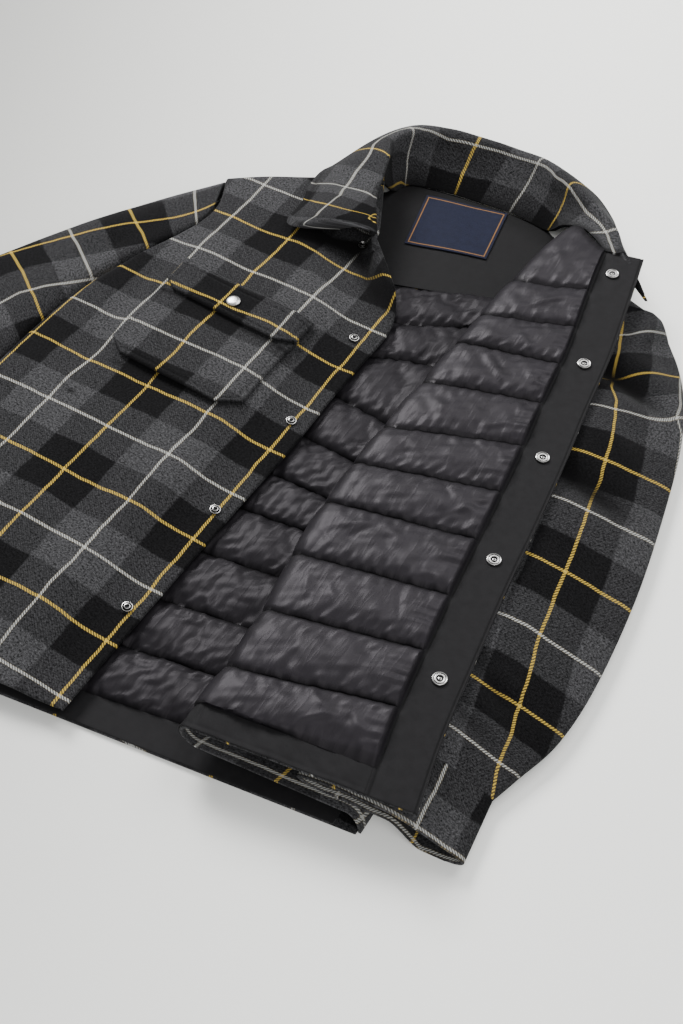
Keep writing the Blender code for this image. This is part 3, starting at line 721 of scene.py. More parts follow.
@dataclass(frozen=True)
class CheckedWool:
    """Brushed twill wool in a two-tone check with gold and pale lines."""

    sett_x: float = 0.146
    sett_y: float = 0.130
    line: float = 0.0029
    pitch: float = 0.0029
    dark: Colour = (0.0040, 0.0039, 0.0042, 1.0)
    grey: Colour = (0.0345, 0.0342, 0.0356, 1.0)
    gold: Colour = (0.40, 0.275, 0.052, 1.0)
    # Colour of the painted shade in grooves, hollows and under other parts.
    hollow: Colour = (0.0022, 0.0021, 0.0022, 1.0)
    pale: Colour = (0.31, 0.31, 0.295, 1.0)
    ground_softness: float = 0.40
    line_least: float = 0.14
    wander: float = 0.0065
    heathered: float = 6.6

    def build(self, name: str, shared: Finishes, shade: float = 1.0) -> Material:
        """Makes the material.

        Args:
            name: Its name.
            shared: The node groups.
            shade: How light it is.

        Returns:
            The material.
        """
        made, g, shader = Finishes.start(name)
        cut = g.cut()
        cloud = g.node("ShaderNodeTexNoise")
        g.feed(cloud.inputs["Vector"], cut)
        cloud.inputs["Scale"].default_value = 22.0
        moved = g.vector("MULTIPLY_ADD", cloud.outputs["Color"], (self.wander, self.wander, 0.0), cut)
        split = g.axes(g.vector("SUBTRACT", moved, (self.wander / 2, self.wander / 2, 0.0)))
        colours = {"Dark": self.dark, "Grey": self.grey, "Gold": self.gold, "Pale": self.pale}
        colours["Line"] = self.line
        warp = shared.group(g, shared.yarn, Place=split[0], Sett=self.sett_x, **colours)
        weft = shared.group(g, shared.yarn, Place=split[1], Sett=self.sett_y, **colours)
        twill = shared.group(g, shared.twill, Place=cut, Pitch=self.pitch)
        heather = shared.group(g, shared.heather, Place=cut, Amount=self.heathered)
        over = twill.outputs["Over"]
        ground_over = g.math("MULTIPLY_ADD", over, 1 - 2 * self.ground_softness, self.ground_softness)
        ground = g.mix(ground_over, warp.outputs["Band"], weft.outputs["Band"])
        tone = g.math("MULTIPLY", heather.outputs["Factor"], shade)
        woven = g.mix(1.0, ground, tone, "MULTIPLY")
        for yarns, share in ((warp, g.math("SUBTRACT", 1.0, over)), (weft, over)):
            seen = g.math("MULTIPLY_ADD", share, 1 - self.line_least, self.line_least)
            woven = g.mix(g.math("MULTIPLY", yarns.outputs["Mask"], seen), woven, yarns.outputs["Line"])
        # Painted shade: the seam mark darkens the wool towards the hollow colour.
        g.feed(shader.inputs["Base Color"], g.mix(g.kept("seam"), woven, self.hollow))
        g.surface(shader, 1.0, 0.06)
        shader.inputs["Sheen Weight"].default_value = 0.03
        shader.inputs["Sheen Roughness"].default_value = 0.5
        ribs = g.math("MULTIPLY", twill.outputs["Height"], 0.25)
        g.bump(shader, 0.55, 0.0007, g.math("ADD", ribs, heather.outputs["Height"]))
        return made


@dataclass(frozen=True)
class SatinNylon:
    """Thin nylon of the quilted lining, with a soft gloss."""

    colour: Colour = (0.0112, 0.0101, 0.0119, 1.0)
    # Colour of the painted shade along the quilting seams.
    seam: Colour = (0.0028, 0.0026, 0.0029, 1.0)
    roughness: float = 0.47
    specular: float = 0.15

    def build(self, name: str, shared: Finishes) -> Material:
        """Makes the material from the shared groups."""
        made, g, shader = Finishes.start(name)
        cut = g.cut()
        crinkle = shared.group(g, shared.crinkle, Place=cut)
        plain = g.mix(1.0, self.colour, crinkle.outputs["Shade"], "MULTIPLY")
        # Painted shade: the seam mark darkens the nylon beside its seams.
        g.feed(shader.inputs["Base Color"], g.mix(g.kept("seam"), plain, self.seam))
        g.surface(shader, self.roughness, self.specular)
        shader.inputs["Specular Tint"].default_value = (1.0, 0.93, 1.0, 1.0)
        weave = g.noise(cut, 2400.0, 1.0)
        g.bump(shader, 0.5, 0.0016, g.math("MULTIPLY_ADD", weave, 0.03, crinkle.outputs["Height"]))
        return made


@dataclass(frozen=True)
class PlainWeave:
    """Close plain weave of the facings."""

    colour: Colour = (0.0088, 0.0084, 0.0090, 1.0)
    # Colour of the painted shade in stitched grooves and on the shaded neck facing.
    seam: Colour = (0.0016, 0.0015, 0.0016, 1.0)
    roughness: float = 0.75
    specular: float = 0.12
    thread: float = 6400.0

    def build(self, name: str, shared: Finishes) -> Material:
        """Makes the material from the shared groups."""
        made, g, shader = Finishes.start(name)
        place = g.object_place()
        across, along = (g.math("SINE", g.math("MULTIPLY", g.axes(place)[k], self.thread)) for k in (0, 1))
        weave = g.math("MULTIPLY", across, along)
        heather = shared.group(g, shared.heather, Place=place, Amount=0.5)
        plain = g.mix(1.0, self.colour, heather.outputs["Factor"], "MULTIPLY")
        # Painted shade: the seam mark darkens the facing towards the seam colour.
        g.feed(shader.inputs["Base Color"], g.mix(g.kept("seam"), plain, self.seam))
        g.surface(shader, self.roughness, self.specular)
        g.bump(shader, 0.5, 0.001, g.math("MULTIPLY_ADD", weave, 0.12, g.noise(place, 45.0, 2.0)))
        return made


@dataclass(frozen=True)
class WovenLabel:
    """A plain navy woven label with a thin border line."""

    colour: Colour = (0.0062, 0.0078, 0.020, 1.0)
    border: Colour = (0.17, 0.085, 0.03, 1.0)
    width: float = 0.094
    height: float = 0.084
    inset: float = 0.0035
    line: float = 0.0009

    def build(self, name: str, shared: Finishes) -> Material:
        """Makes the material from the shared groups."""
        made, g, shader = Finishes.start(name)
        cut = g.cut()
        x, y, _ = g.axes(cut)
        sides = [g.math("MINIMUM", place, g.math("SUBTRACT", whole, place))
                 for place, whole in ((x, self.width), (y, self.height))]
        from_edge = g.math("MINIMUM", *sides)
        away = g.math("ABSOLUTE", g.math("SUBTRACT", from_edge, self.inset))
        line = g.ramp(away, self.line, self.line * 0.4)
        rib = g.math("SINE", g.math("MULTIPLY", y, 9000.0))
        heather = shared.group(g, shared.heather, Place=cut, Amount=0.7)
        plain = g.mix(1.0, self.colour, heather.outputs["Factor"], "MULTIPLY")
        g.feed(shader.inputs["Base Color"], g.mix(line, plain, self.border))
        g.surface(shader, 0.7, 0.12)
        g.bump(shader, 0.3, 0.0004, g.math("ADD", rib, line))
        return made


@dataclass(frozen=True)
class Nickel:
    """Plated metal of the snaps, lightly scuffed."""

    colour: Colour = (0.47, 0.46, 0.445, 1.0)
    # Colour of the painted shade in the snaps' grooves, holes and foot.
    recess: Colour = (0.012, 0.012, 0.013, 1.0)
    roughness: float = 0.28

    def build(self, name: str) -> Material:
        """Makes the material."""
        made, g, shader = Finishes.start(name)
        scuff = g.noise(g.scaled(g.object_place(), (1.0, 4.0, 1.0)), 900.0, 3.0)
        plain = g.mix(scuff, self.colour, tuple(c * 0.75 for c in self.colour[:3]) + (1.0,))
        # Painted shade: darkens the metal towards the recess colour.
        g.feed(shader.inputs["Base Color"], g.mix(g.kept("painted_recess_shade"), plain, self.recess))
        shader.inputs["Metallic"].default_value = 1.0
        rough = g.ramp(scuff, 0.2, 0.8, self.roughness - 0.06, self.roughness + 0.12)
        g.feed(shader.inputs["Roughness"], rough)
        return made


@dataclass(frozen=True)
class Thread:
    """Twisted sewing thread."""

    colour: Colour = (0.005, 0.005, 0.0053, 1.0)

    def build(self, name: str, shared: Finishes) -> Material:
        """Makes the material from the shared groups."""
        made, g, shader = Finishes.start(name)
        heather = shared.group(g, shared.heather, Place=g.object_place(), Amount=1.0)
        g.feed(shader.inputs["Base Color"], g.mix(1.0, self.colour, heather.outputs["Factor"], "MULTIPLY"))
        g.surface(shader, 0.8, 0.1)
        return made


# Body


@dataclass
class RightFront:
    """The right front panel, with its creases and its turned edges.

    folds has rows of start x, y; end x, y; height; half width.
    """

    edge_round: float = 15.0
    armhole_round: float = 6.0
    fold_radius: float = 2.3
    front_turn: float = 0.985
    hem_turn: float = 0.008
    width: float = 312.0
    length: float = 650.0
    hem_lift: float = 3.0
    height: float = 29.0
    edge_height: float = 17.5
    side_share: float = 0.06
    top_share: float = 0.03
    folds: tuple = (
        (-250, 60, -225, -180, -3.0, 15), (-205, 150, -205, -40, 2.2, 26), (-120, -250, -180, -460, 1.6, 22),
        (-215, -200, -120, -330, 1.8, 20), (-60, 60, -25, -60, -1.6, 15), (-150, 160, -60, 60, 1.5, 20),
        (-270, -260, -200, -420, -2.0, 18), (-45, -120, -60, -300, 1.2, 14), (-90, -130, -30, -200, -1.2, 12),
    )
    ripples: Ripples = field(default_factory=lambda: Ripples(11, 90.0))

    def edge_at(self, y: Array) -> Array:
        """The x of the front edge at these y."""
        share = np.clip((y - RIGHT_FRONT_EDGE[0][1]) / 640, 0, 1)
        return spline(RIGHT_FRONT_EDGE, share)[..., 0]

    def panel_height(self, x: Array, y: Array) -> Array:
        """Height of the panel over the surface, away from its rounded edges."""
        from_edge = self.edge_at(y) - x
        rise = smoothstep((from_edge - 22) / 62.0)
        height = lerp(self.edge_height, self.height, rise)
        height = height + 1.1 * np.sin(y / 21.0 + x / 90.0) * rise
        height = height + 1.25 * creases(x, y, self.folds) + 0.8 * self.ripples.at(x, y) * (0.3 + 0.7 * rise)
        hem = 1 - smoothstep((y + 3 - hem_y(x)) / 70.0)
        height = lerp(height, self.edge_height, 0.8 * hem * rise)
        neck = np.exp(-(((x + 60) / 34) ** 2) - ((y - 142) / 34) ** 2)
        return lerp(height, 18.0, 0.85 * neck)

    def placket_lift(self, x: Array, y: Array) -> tuple[Array, Array]:
        """How far the placket's top is curled up from the panel, and the height that it reaches."""
        edge = spline(RIGHT_FRONT_EDGE, 0.62 + 0.38 * np.linspace(0, 1, 61))
        away = np.hypot(x[:, None] - edge[:, 0], y[:, None] - edge[:, 1])
        nearest = away.argmin(axis=1)
        return np.exp(-((away.min(axis=1) / 22) ** 2)), edge[nearest, 2]

    def plan(self, across: Array, along: Array) -> Array:
        """The panel's outline filled in plan."""

        def bottom(u: Array) -> Array:
            """The hem."""
            x = lerp(RIGHT_SIDE[0][0], RIGHT_FRONT_EDGE[0][0], u)
            return np.stack([x, hem_y(x) + self.hem_lift], axis=-1)

        def side(v: Array) -> Array:
            """The side and the armhole."""
            points = spline(RIGHT_SIDE, v)
            return points + np.stack([0 * v, self.hem_lift * (1 - v)], axis=-1)

        return coons(across, along, bottom, lambda u: spline(RIGHT_FRONT_TOP, u), side,
                     lambda v: spline(RIGHT_FRONT_EDGE, v)[:, :2])

    def place(self, u: Array, v: Array) -> Array:
        """Points of the outer face, turned under along the front edge and the hem."""
        turn_u = np.clip((u - self.front_turn) / (1 - self.front_turn), 0, 1) * math.pi / 2
        turn_v = np.clip((self.hem_turn - v) / self.hem_turn, 0, 1) * math.pi / 2
        low_end = self.fold_radius / self.length
        flat_u = np.minimum(u / self.front_turn, 1) * (1 - self.fold_radius / self.width)
        flat_v = lerp(low_end, 1.0, np.clip((v - self.hem_turn) / (1 - self.hem_turn), 0, 1))
        points = self.open_place(flat_u, flat_v)
        near_hem = 1 - smoothstep((u - 0.97) / 0.02)
        points[:, 0] += self.fold_radius * np.sin(turn_u)
        points[:, 1] -= self.fold_radius * np.sin(turn_v)
        points[:, 2] -= self.fold_radius * (1 - np.cos(turn_u))
        points[:, 2] -= self.fold_radius * (1 - np.cos(turn_v)) * near_hem
        points[:, 2] = np.maximum(points[:, 2], 2.6 * np.minimum(u / 0.02, 1))
        return points

    def open_place(self, u: Array, v: Array) -> Array:
        """Points of the outer face before its edges are turned. The side and the shoulder roll down."""
        ratio = lerp(self.edge_round, self.armhole_round, smoothstep((v - 0.52) / 0.1)) / self.width
        angle = np.clip(u / self.side_share, 0, 1) * math.pi / 2
        rest = (u - self.side_share) / (1 - self.side_share)
        across = np.where(u < self.side_share, ratio * (1 - np.cos(angle)), ratio + rest * (1 - ratio))
        side_factor = np.sin(angle)
        tall = self.edge_round / self.length
        tip = np.clip((1 - v) / self.top_share, 0, 1) * math.pi / 2
        main = v / (1 - self.top_share) * (1 - tall)
        along = np.where(v > 1 - self.top_share, 1 - tall * (1 - np.cos(tip)), main)
        top_factor = np.sin(tip)
        xy = self.plan(across, along)
        x, y = xy[:, 0], xy[:, 1]
        shoulder = 1 - smoothstep((across - 0.40) / 0.16)
        near_top = lerp(1.0, top_factor, shoulder)
        start = LAID_SEAM * shoulder * smoothstep((along - 0.93) / 0.04)
        neck = smoothstep((across - 0.38) / 0.2) * smoothstep((along - 0.90) / 0.1)
        lift, reach = self.placket_lift(x, y)
        lift = lift * smoothstep((along - 0.76) / 0.1)
        height = lerp(self.panel_height(x, y), 33.0, neck)
        height = lerp(LAID_SEAM, lerp(height, reach, lift), near_top)
        z = lerp(start, height, side_factor)
        return stacked(x, y, z + WOOL / 2)

    def pattern(self, u: Array, v: Array) -> Array:
        """The check runs straight with the front's own plan, and on round the side."""
        points = self.place(u, v)
        under = np.maximum(1 - u / self.side_share, 0) * self.edge_round * 0.57
        return np.stack([points[:, 0] - under, points[:, 1]], axis=-1)

    def on_panel(self, x: Array, y: Array, lift: Array | float) -> Array:
        """Points this far above the panel's outer face."""
        step = 3.0
        slope_x = (self.panel_height(x + step, y) - self.panel_height(x - step, y)) / (2 * step)
        slope_y = (self.panel_height(x, y + step) - self.panel_height(x, y - step)) / (2 * step)
        normal = unit(stacked(-slope_x, -slope_y, 1.0))
        return stacked(x, y, self.panel_height(x, y)) + normal * (np.asarray(lift)[..., None] + WOOL / 2)

    def shade(self, u: Array, v: Array) -> Array:
        """Painted shade under the collar's leaf and the pocket's lower edge, and in the hand pocket's slit."""
        x, y, _ = self.place(u, v).T
        hollow = creases(x, y, ((-152, 137, -52, 182, 1.1, 12), (-104, 182, 20, 80, 0.75, 12),
                                (-228, -171.5, -190, -180, 0.9, 1.4)))
        from_pocket = y + 0.06 * (-133.5 - x) + 114
        # Painted shadow just below the pocket's lower edge.
        pocket_shadow = hump(from_pocket, -2.0, 3.2) * smoothstep((x + 205) / 12) * smoothstep((-62 - x) / 12)
        return hollow + 0.6 * pocket_shadow

    def build(self, wool: Material) -> None:
        """Builds the panel in place of its node."""
        cloth = Cloth("right_front_cloth", 150, 250, self.place, self.pattern, edge=0.6, shade=self.shade,
                      even_u=lambda u: np.interp(u, (0, 0.97, 1), (0, self.front_turn, 1)),
                      even_v=lambda v: np.interp(v, (0, 0.018, 1), (0, self.hem_turn, 1)))
        lay_cloth(cloth, wool, "right_front")


@dataclass
class ChestPocket:
    """The chest pocket, its flap and their stitched edges."""

    panel: RightFront
    left: float = -217.0
    right: float = -50.0
    top: float = 20.0
    bottom: float = -114.0
    corner: float = 24.0
    flap_top: float = 36.0
    flap_bottom: float = -13.0
    flap_corner: float = 17.0
    slope: float = -0.06
    bulge: float = 2.5

    def place(self, top: float, bottom: float, corner: float, lift: float, lip: float) -> Placer:
        """A function that gives a pocket piece's outer face from places on its cut.

        Args:
            top: The y of its top edge.
            bottom: The y of its bottom edge.
            corner: The size of its clipped lower corners.
            lift: How far its underside is above the panel.
            lip: How far its lower edge stands up.

        Returns:
            The function.
        """

        def at(u: Array, v: Array) -> Array:
            """Points of the outer face."""
            y = lerp(bottom, top, v)
            inset = corner * np.clip(1 - (y - bottom) / (corner * 0.75), 0, 1)
            inset = inset + 1.5 * np.sin(math.pi * v)
            x = lerp(self.left + inset, self.right - inset, u)
            swell = self.bulge * np.sin(math.pi * u) ** 0.8 * np.sin(math.pi * np.clip(v, 0, 1)) ** 0.8
            edge = np.minimum(np.minimum(u, 1 - u) * (self.right - self.left), (y - bottom))
            stitched = -0.9 * hump(edge, 7.0, 1.3)
            stitched = stitched - 0.8 * hump(top - y, 3.0, 1.2) - 0.8 * hump(top - y, 10.0, 1.2)
            rounded = -1.6 * (1 - smoothstep(np.minimum(edge, top - y) / 2.2))
            lifted = lip * (1 - smoothstep((y - bottom) / 26.0)) * (0.6 + 0.4 * np.sin(math.pi * u)) + rounded
            middle = (self.left + self.right) / 2
            place_y = y + self.slope * (x - middle)
            return self.panel.on_panel(x, place_y, lift + WOOL + np.maximum(swell, 0) + stitched + lifted)

        return at

    def shade(self, top: float, bottom: float, u: Array, v: Array) -> Array:
        """Painted shade in the stitched grooves, round the edges and under the flap."""
        y = lerp(bottom, top, v)
        side = np.minimum(u, 1 - u) * (self.right - self.left)
        grooves = hump(np.minimum(side, y - bottom), 7.0, 1.2)
        grooves = grooves + hump(top - y, 3.0, 1.0) + hump(top - y, 10.0, 1.0)
        # Painted shade along the lower edge and the sides.
        edges = 0.9 * (1 - smoothstep((y - bottom) / 3.2)) + 0.25 * (1 - smoothstep(side / 2.6))
        # Painted shadow that the flap casts on the pocket.
        flap_shadow = hump(y, self.flap_bottom - 3.0, 3.5) if bottom < self.flap_bottom else 0.0
        return 0.25 * grooves + edges + 0.65 * flap_shadow

    def build(self, wool: Material) -> None:
        """Builds the pocket and the flap in place of their nodes."""
        pocket = self.place(self.top, self.bottom, self.corner, 1.6, 3.0)
        flap = self.place(self.flap_top, self.flap_bottom, self.flap_corner, 4.6, 3.4)
        for name, at, node, rows, top, bottom in (
                ("chest_pocket_cloth", pocket, "chest_pocket", 96, self.top, self.bottom),
                ("pocket_flap_cloth", flap, "pocket_flap", 44, self.flap_top, self.flap_bottom)):
            cloth = Cloth(name, 110, rows, at, in_plan(at), thickness=4.6, edge=0.8,
                          shade=lambda u, v, top=top, bottom=bottom: self.shade(top, bottom, u, v))
            lay_cloth(cloth, wool, node)


@dataclass
class Back:
    """The back panel, with its hem and neck facings, the label and the quilted lining."""

    inset: float = 1.95
    hem_band: float = 34.0
    lining_base: float = 2.8

    def place(self, u: Array, v: Array) -> Array:
        """Points of the back's upper face."""
        right = spline(RIGHT_SIDE, v)
        left = spline(LEFT_SIDE, v)
        right[:, 0] += self.inset
        left[:, 0] -= self.inset
        right[:, 1] = np.where(v <= 0, hem_y(right[:, 0]), right[:, 1])
        left[:, 1] = np.where(v <= 0, hem_y(left[:, 0]), left[:, 1])

        def bottom(s: Array) -> Array:
            """The hem."""
            x = lerp(RIGHT_SIDE[0][0] + self.inset, LEFT_SIDE[0][0] - self.inset, s)
            return np.stack([x, hem_y(x)], axis=-1)

        def top(s: Array) -> Array:
            """The shoulders and the neck."""
            return spline(BACK_TOP, s) - np.array([0.0, self.inset])

        def side(curve: Rows, sign: float) -> Callable[[Array], Array]:
            """One side, moved in."""
            return lambda s: spline(curve, s) + self.inset * np.stack([sign + 0 * s, -s], axis=-1)

        xy = coons(u, v, bottom, top, side(RIGHT_SIDE, 1.0), side(LEFT_SIDE, -1.0))
        return stacked(xy[:, 0], xy[:, 1], np.full(len(u), WOOL))

    def hem_place(self, u: Array, v: Array) -> Array:
        """Points of the hem facing, which waves a little."""
        x = lerp(-283.0, 255.0, u)
        y = lerp(hem_y(x) + 1, hem_y(x) + self.hem_band, v)
        return stacked(x, y, 4.0 + 0.5 * np.sin(x / 17.0) * np.sin(math.pi * v))

    def seam_y(self, x: Array, channel: Array) -> Array:
        """The y of the lining's seams, or of places between them."""
        row = spline_linear(BACK_SEAMS, channel)
        return row[:, 0] + row[:, 1] * np.clip(x - 10, -60, 110)

    def lining_place(self, u: Array, v: Array) -> Array:
        """Points of the lining before it is filled."""
        channel = v * (len(BACK_SEAMS) - 1)
        x = across_back(u)
        y = self.seam_y(x, channel)
        limit_right = side_at(RIGHT_SIDE, y) + 22
        limit_left = side_at(LEFT_SIDE, y) - 22
        x = lerp(limit_right, limit_left, (x + 283) / (255 + 283))
        y = self.seam_y(x, channel)
        return stacked(x, y, self.lining_base + 1.0 + 0 * x)

    def build(self, wool: Material, facing: Material, navy: Material) -> None:
        """Builds the panel, its facings and the label."""
        panel = Cloth("back_cloth", 60, 90, self.place, in_plan(self.place), edge=0.7)
        lay_cloth(panel, wool, "back")
        band = Cloth("back_hem_band", 150, 12, self.hem_place, in_plan(self.hem_place), FACING, edge=0.4)
        lay_cloth(band, facing, "back_hem_facing")
        # The neck facing gets painted shade all over, darkest at its top under the collar.
        neck = Cloth("back_neck_yoke", 90, 40, self.neck_place, in_plan(self.neck_place), FACING, edge=0.4,
                     shade=lambda u, v: 0.35 + 0.5 * smoothstep((v - 0.75) / 0.25))
        lay_cloth(neck, facing, "back_neck_facing")
        size = WovenLabel()
        label = Cloth("label_cloth", 40, 30, self.label_place,
                      lambda u, v: np.stack([size.width * u, size.height * v], axis=-1) / MM, 0.7, edge=0.2)
        lay_cloth(label, navy, "label")

    def neck_place(self, u: Array, v: Array) -> Array:
        """Points of the neck facing, which is soft and a little hollow."""
        x = lerp(-212, 206, u)
        low = 160 + 0.3 * x
        top = spline(BACK_TOP, np.linspace(0.02, 0.98, 300))
        high = np.interp(x, top[:, 0], top[:, 1]) - 5
        y = lerp(low, high, v)
        soft = 0.9 * np.sin(x / 26.0 + y / 31.0) * np.sin(math.pi * v) * np.sin(math.pi * u)
        return stacked(x, y, 4.0 + np.maximum(soft, -0.2))

    def label_place(self, u: Array, v: Array) -> Array:
        """Points of the label."""
        corners = [np.array(c, float) for c in LABEL]
        low = corners[0] + (corners[1] - corners[0]) * u[:, None]
        high = corners[3] + (corners[2] - corners[3]) * u[:, None]
        xy = low + (high - low) * v[:, None]
        soft = 0.9 * np.sin(xy[:, 0] / 26.0 + xy[:, 1] / 31.0)
        return stacked(xy[:, 0], xy[:, 1], 5.9 + np.maximum(soft, -0.2))


def hem_y(x: Array | float) -> Array | float:
    """The y of the garment's hem at these x."""
    return HEM_MIDDLE + HEM_SLOPE * x


def across_back(u: Array) -> Array:
    """The x of the back lining's columns, close together where the lining shows."""
    return np.interp(u, (0.0, 0.2, 0.88, 1.0), (-283.0, -30.0, 140.0, 255.0))


# Folded-back left front


@dataclass
class LeftFront:
    """The left front: lower layer, ridge and upper layer, with its lining, strip and hem band."""

    edge_round: float = 12.0
    ridge_radius: float = 13.0
    lower_layer: float = 24.0
    strip_width: float = 42.0
    neck_dip: float = 12.0
    hem_lift: float = 3.0
    band: float = 34.0 / 690.0
    seam: float = 0.012
    shoulder_start: float = 0.93
    gold_inset: float = 14.0
    gathers: Ripples = field(default_factory=lambda: Ripples(15, 14.0))

    def point(self, p: Array, v: Array) -> Array:
        """Points of the cloth's middle.

        Args:
            p: 0 to 1 up the side, to 2 at the ridge, to 3 over it, to 4 at the front edge.
            v: 0 at the hem to 1 at the neck.

        Returns:
            The points in the plan.
        """
        p, v = np.broadcast_arrays(p, v)
        row = spline(LEFT_FRONT, v)
        ridge_x, ridge_y, edge_x, edge_y, upper = row.T
        side = spline(LEFT_SIDE, v)
        side_x, side_y = side[:, 0], side[:, 1] + self.hem_lift * (1 - v)
        shoulder = np.sqrt(np.maximum(1 - smoothstep((v - self.shoulder_start) / 0.07) ** 2, 0.0))
        at_side = 1 - smoothstep((p - 1.2) / 0.6)
        lower = lerp(LAID_SEAM, self.lower_layer, lerp(1.0, shoulder, at_side))
        ridge_high = lower + 2 * self.ridge_radius
        up = math.pi / 2 * np.clip(p, 0, 1)
        start = LAID_SEAM * smoothstep((v - self.shoulder_start) / 0.04)
        rise = stacked(side_x - self.edge_round * (1 - np.cos(up)), side_y, lerp(start, lower, np.sin(up)))
        t = np.clip(p - 1, 0, 1)
        flat = stacked(lerp(side_x - self.edge_round, ridge_x, t), lerp(side_y, ridge_y, t), lower)
        over = math.pi * np.clip(p - 2, 0, 1)
        fold = stacked(ridge_x - self.ridge_radius * np.sin(over), ridge_y,
                       lower + self.ridge_radius * (1 - np.cos(over)))
        t = np.clip(p - 3, 0, 1)
        dip = self.neck_dip * np.sin(math.pi * t) * smoothstep((v - 0.75) / 0.25)
        top = stacked(lerp(ridge_x, edge_x, t), lerp(ridge_y, edge_y, t) - dip,
                      lerp(ridge_high, upper, smoothstep(t)))
        p = p[:, None]
        return np.where(p < 1, rise, np.where(p < 2, flat, np.where(p < 3, fold, top)))

    def lining_side(self, p: Array, v: Array) -> Array:
        """Unit normals on the lining's side of the cloth."""
        dp = self.point(p + 0.01, v) - self.point(p - 0.01, v)
        dv = self.point(p, np.minimum(v + 0.01, 1)) - self.point(p, np.maximum(v - 0.01, 0))
        return unit(np.cross(dp, dv))

    def lifted(self, p: Array, v: Array, lift: Array | float) -> Array:
        """Points this far above the cloth's middle on the lining's side."""
        return self.point(p, v) + self.lining_side(p, v) * np.asarray(lift).reshape(-1, 1)

    def strip_start(self, v: Array) -> Array:
        """The p where the facing strip begins."""
        row = spline(LEFT_FRONT, v)
        return 4 - self.strip_width / (row[:, 2] - row[:, 0])

    @staticmethod
    def unrolled(u: Array) -> Array:
        """The p of places across the wool."""
        return np.interp(u, (0.0, 0.06, 0.42, 0.58, 1.0), (0.0, 1.0, 2.0, 3.0, 4.0))

    def wool_place(self, u: Array, v: Array) -> Array:
        """Points of the wool's own face, which is under the upper layer and over the lower one."""
        return self.lifted(self.unrolled(u), v, -WOOL / 2)

    def wool_pattern(self, u: Array, v: Array) -> Array:
        """The check mirrors the right front's: a gold line beside the edge, a pale one beside the hem."""
        p = self.unrolled(u)
        row = spline(LEFT_FRONT, v)
        upper, lower = row[:, 2] - row[:, 0], 265.0 - row[:, 0]
        from_edge = upper * np.clip(4 - p, 0, 1) + math.pi * self.ridge_radius * np.clip(3 - p, 0, 1)
        from_edge = from_edge + lower * np.clip(2 - p, 0, 1) + 20.0 * np.clip(1 - p, 0, 1)
        return np.stack([self.gold_inset - from_edge, lerp(-464.0, 176.0, v)], axis=-1)

    def strip_place(self, u: Array, v: Array) -> Array:
        """Points of the snap strip's upper face, a little thicker where it is turned in."""
        at = lerp(0.0, 0.999, v)
        p = lerp(self.strip_start(at) - 0.008, 4.002, u)
        edge = 0.7 * (1 - smoothstep(u / 0.06)) - 0.6 * hump(u, 0.945, 0.014) - 0.5 * hump(u, 0.075, 0.014)
        soft = 0.35 * self.gathers.at(60.0 * u, 690.0 * at) * (1 - smoothstep((u - 0.1) / 0.7))
        soft = soft + 0.2 * np.sin(at * 40.0) * np.sin(math.pi * u)
        return self.lifted(p, at, WOOL / 2 + SEAM_GAP + FACING + edge + soft)

    def band_place(self, u: Array, v: Array) -> Array:
        """Points of the hem band's upper face."""
        at = lerp(0.001, self.band + 0.004, v)
        end = self.strip_start(at) - self.seam / 2
        p = np.where(u < 0.35, lerp(1.8, 3.0, u / 0.35), lerp(3.0, end, (u - 0.35) / 0.65))
        edge = -0.5 * hump(v, 0.2, 0.05) + 0.6 * smoothstep((v - 0.92) / 0.08)
        soft = (0.9 * np.sin(p * 21.0) + 0.5 * np.sin(p * 47.0 + 9.0 * v)) * np.sin(math.pi * v)
        return self.lifted(p, at, WOOL / 2 + SEAM_GAP + FACING + edge + soft)

    def channel_v(self, p: Array, channel: Array) -> Array:
        """The v of the lining's seams, or of places between them, at these p."""
        rows = np.linspace(0, 1, 400)
        wanted = spline_linear(LEFT_SEAMS, channel)
        bottom, top = self.band - 0.003, 0.997

        def met(p_there: Array, column: int) -> Array:
            """The v at which the seams cross the line of this p."""
            y = self.point(p_there, rows)[:, 1]
            order = np.argsort(y)
            found = np.interp(wanted[:, column], y[order], rows[order])
            return np.where(channel <= 0, bottom, np.where(channel >= len(LEFT_SEAMS) - 1, top, found))

        at_ridge, at_strip = met(np.full(400, 3.0), 0), met(self.strip_start(rows), 1)
        share = smoothstep(np.clip((p - 3.0), 0, 1) / 0.75) * 0.4 + 0.6 * np.clip((p - 3.0) / 0.75, 0, 1)
        return np.clip(lerp(at_ridge, at_strip, share), bottom, top)

    def lining_places(self, u: Array, v: Array) -> tuple[Array, Array, Array]:
        """The p, v and channel of places on the lining."""
        channel = v * (len(LEFT_SEAMS) - 1)
        p = np.interp(u, (0.0, 0.05, 0.28, 1.0), (1.72, 2.0, 3.0, 3.76))
        along = self.channel_v(p, channel)
        end = self.strip_start(along) + 0.003
        p = np.where(p > 3, 3 + (p - 3) / 0.76 * (end - 3), p)
        return p, along, channel

    def lining_place(self, u: Array, v: Array) -> Array:
        """Points of the lining before it is filled."""
        p, along, _ = self.lining_places(u, v)
        return self.lifted(p, along, WOOL / 2 + 2 * SEAM_GAP + 1.2)

    def build(self, wool: Material, facing: Material) -> None:
        """Builds the wool, the strip and the hem band."""
        cloth = Cloth("left_front_cloth", 100, 160, self.wool_place, self.wool_pattern, low=1.0, edge=0.9)
        lay_cloth(cloth, wool, "left_front")
        # The strip gets painted shade in the stitched grooves along both edges.
        strip = Cloth("snap_strip", 56, 170, self.strip_place, in_plan(self.strip_place), FACING, edge=0.5,
                      shade=lambda u, v: 0.8 * hump(u, 0.94, 0.02) + 0.8 * hump(u, 0.075, 0.02))
        lay_cloth(strip, facing, "left_front_facing")
        band = Cloth("front_hem_band", 110, 16, self.band_place, in_plan(self.band_place), FACING, edge=0.5)
        lay_cloth(band, facing, "left_hem_facing")


# Quilting


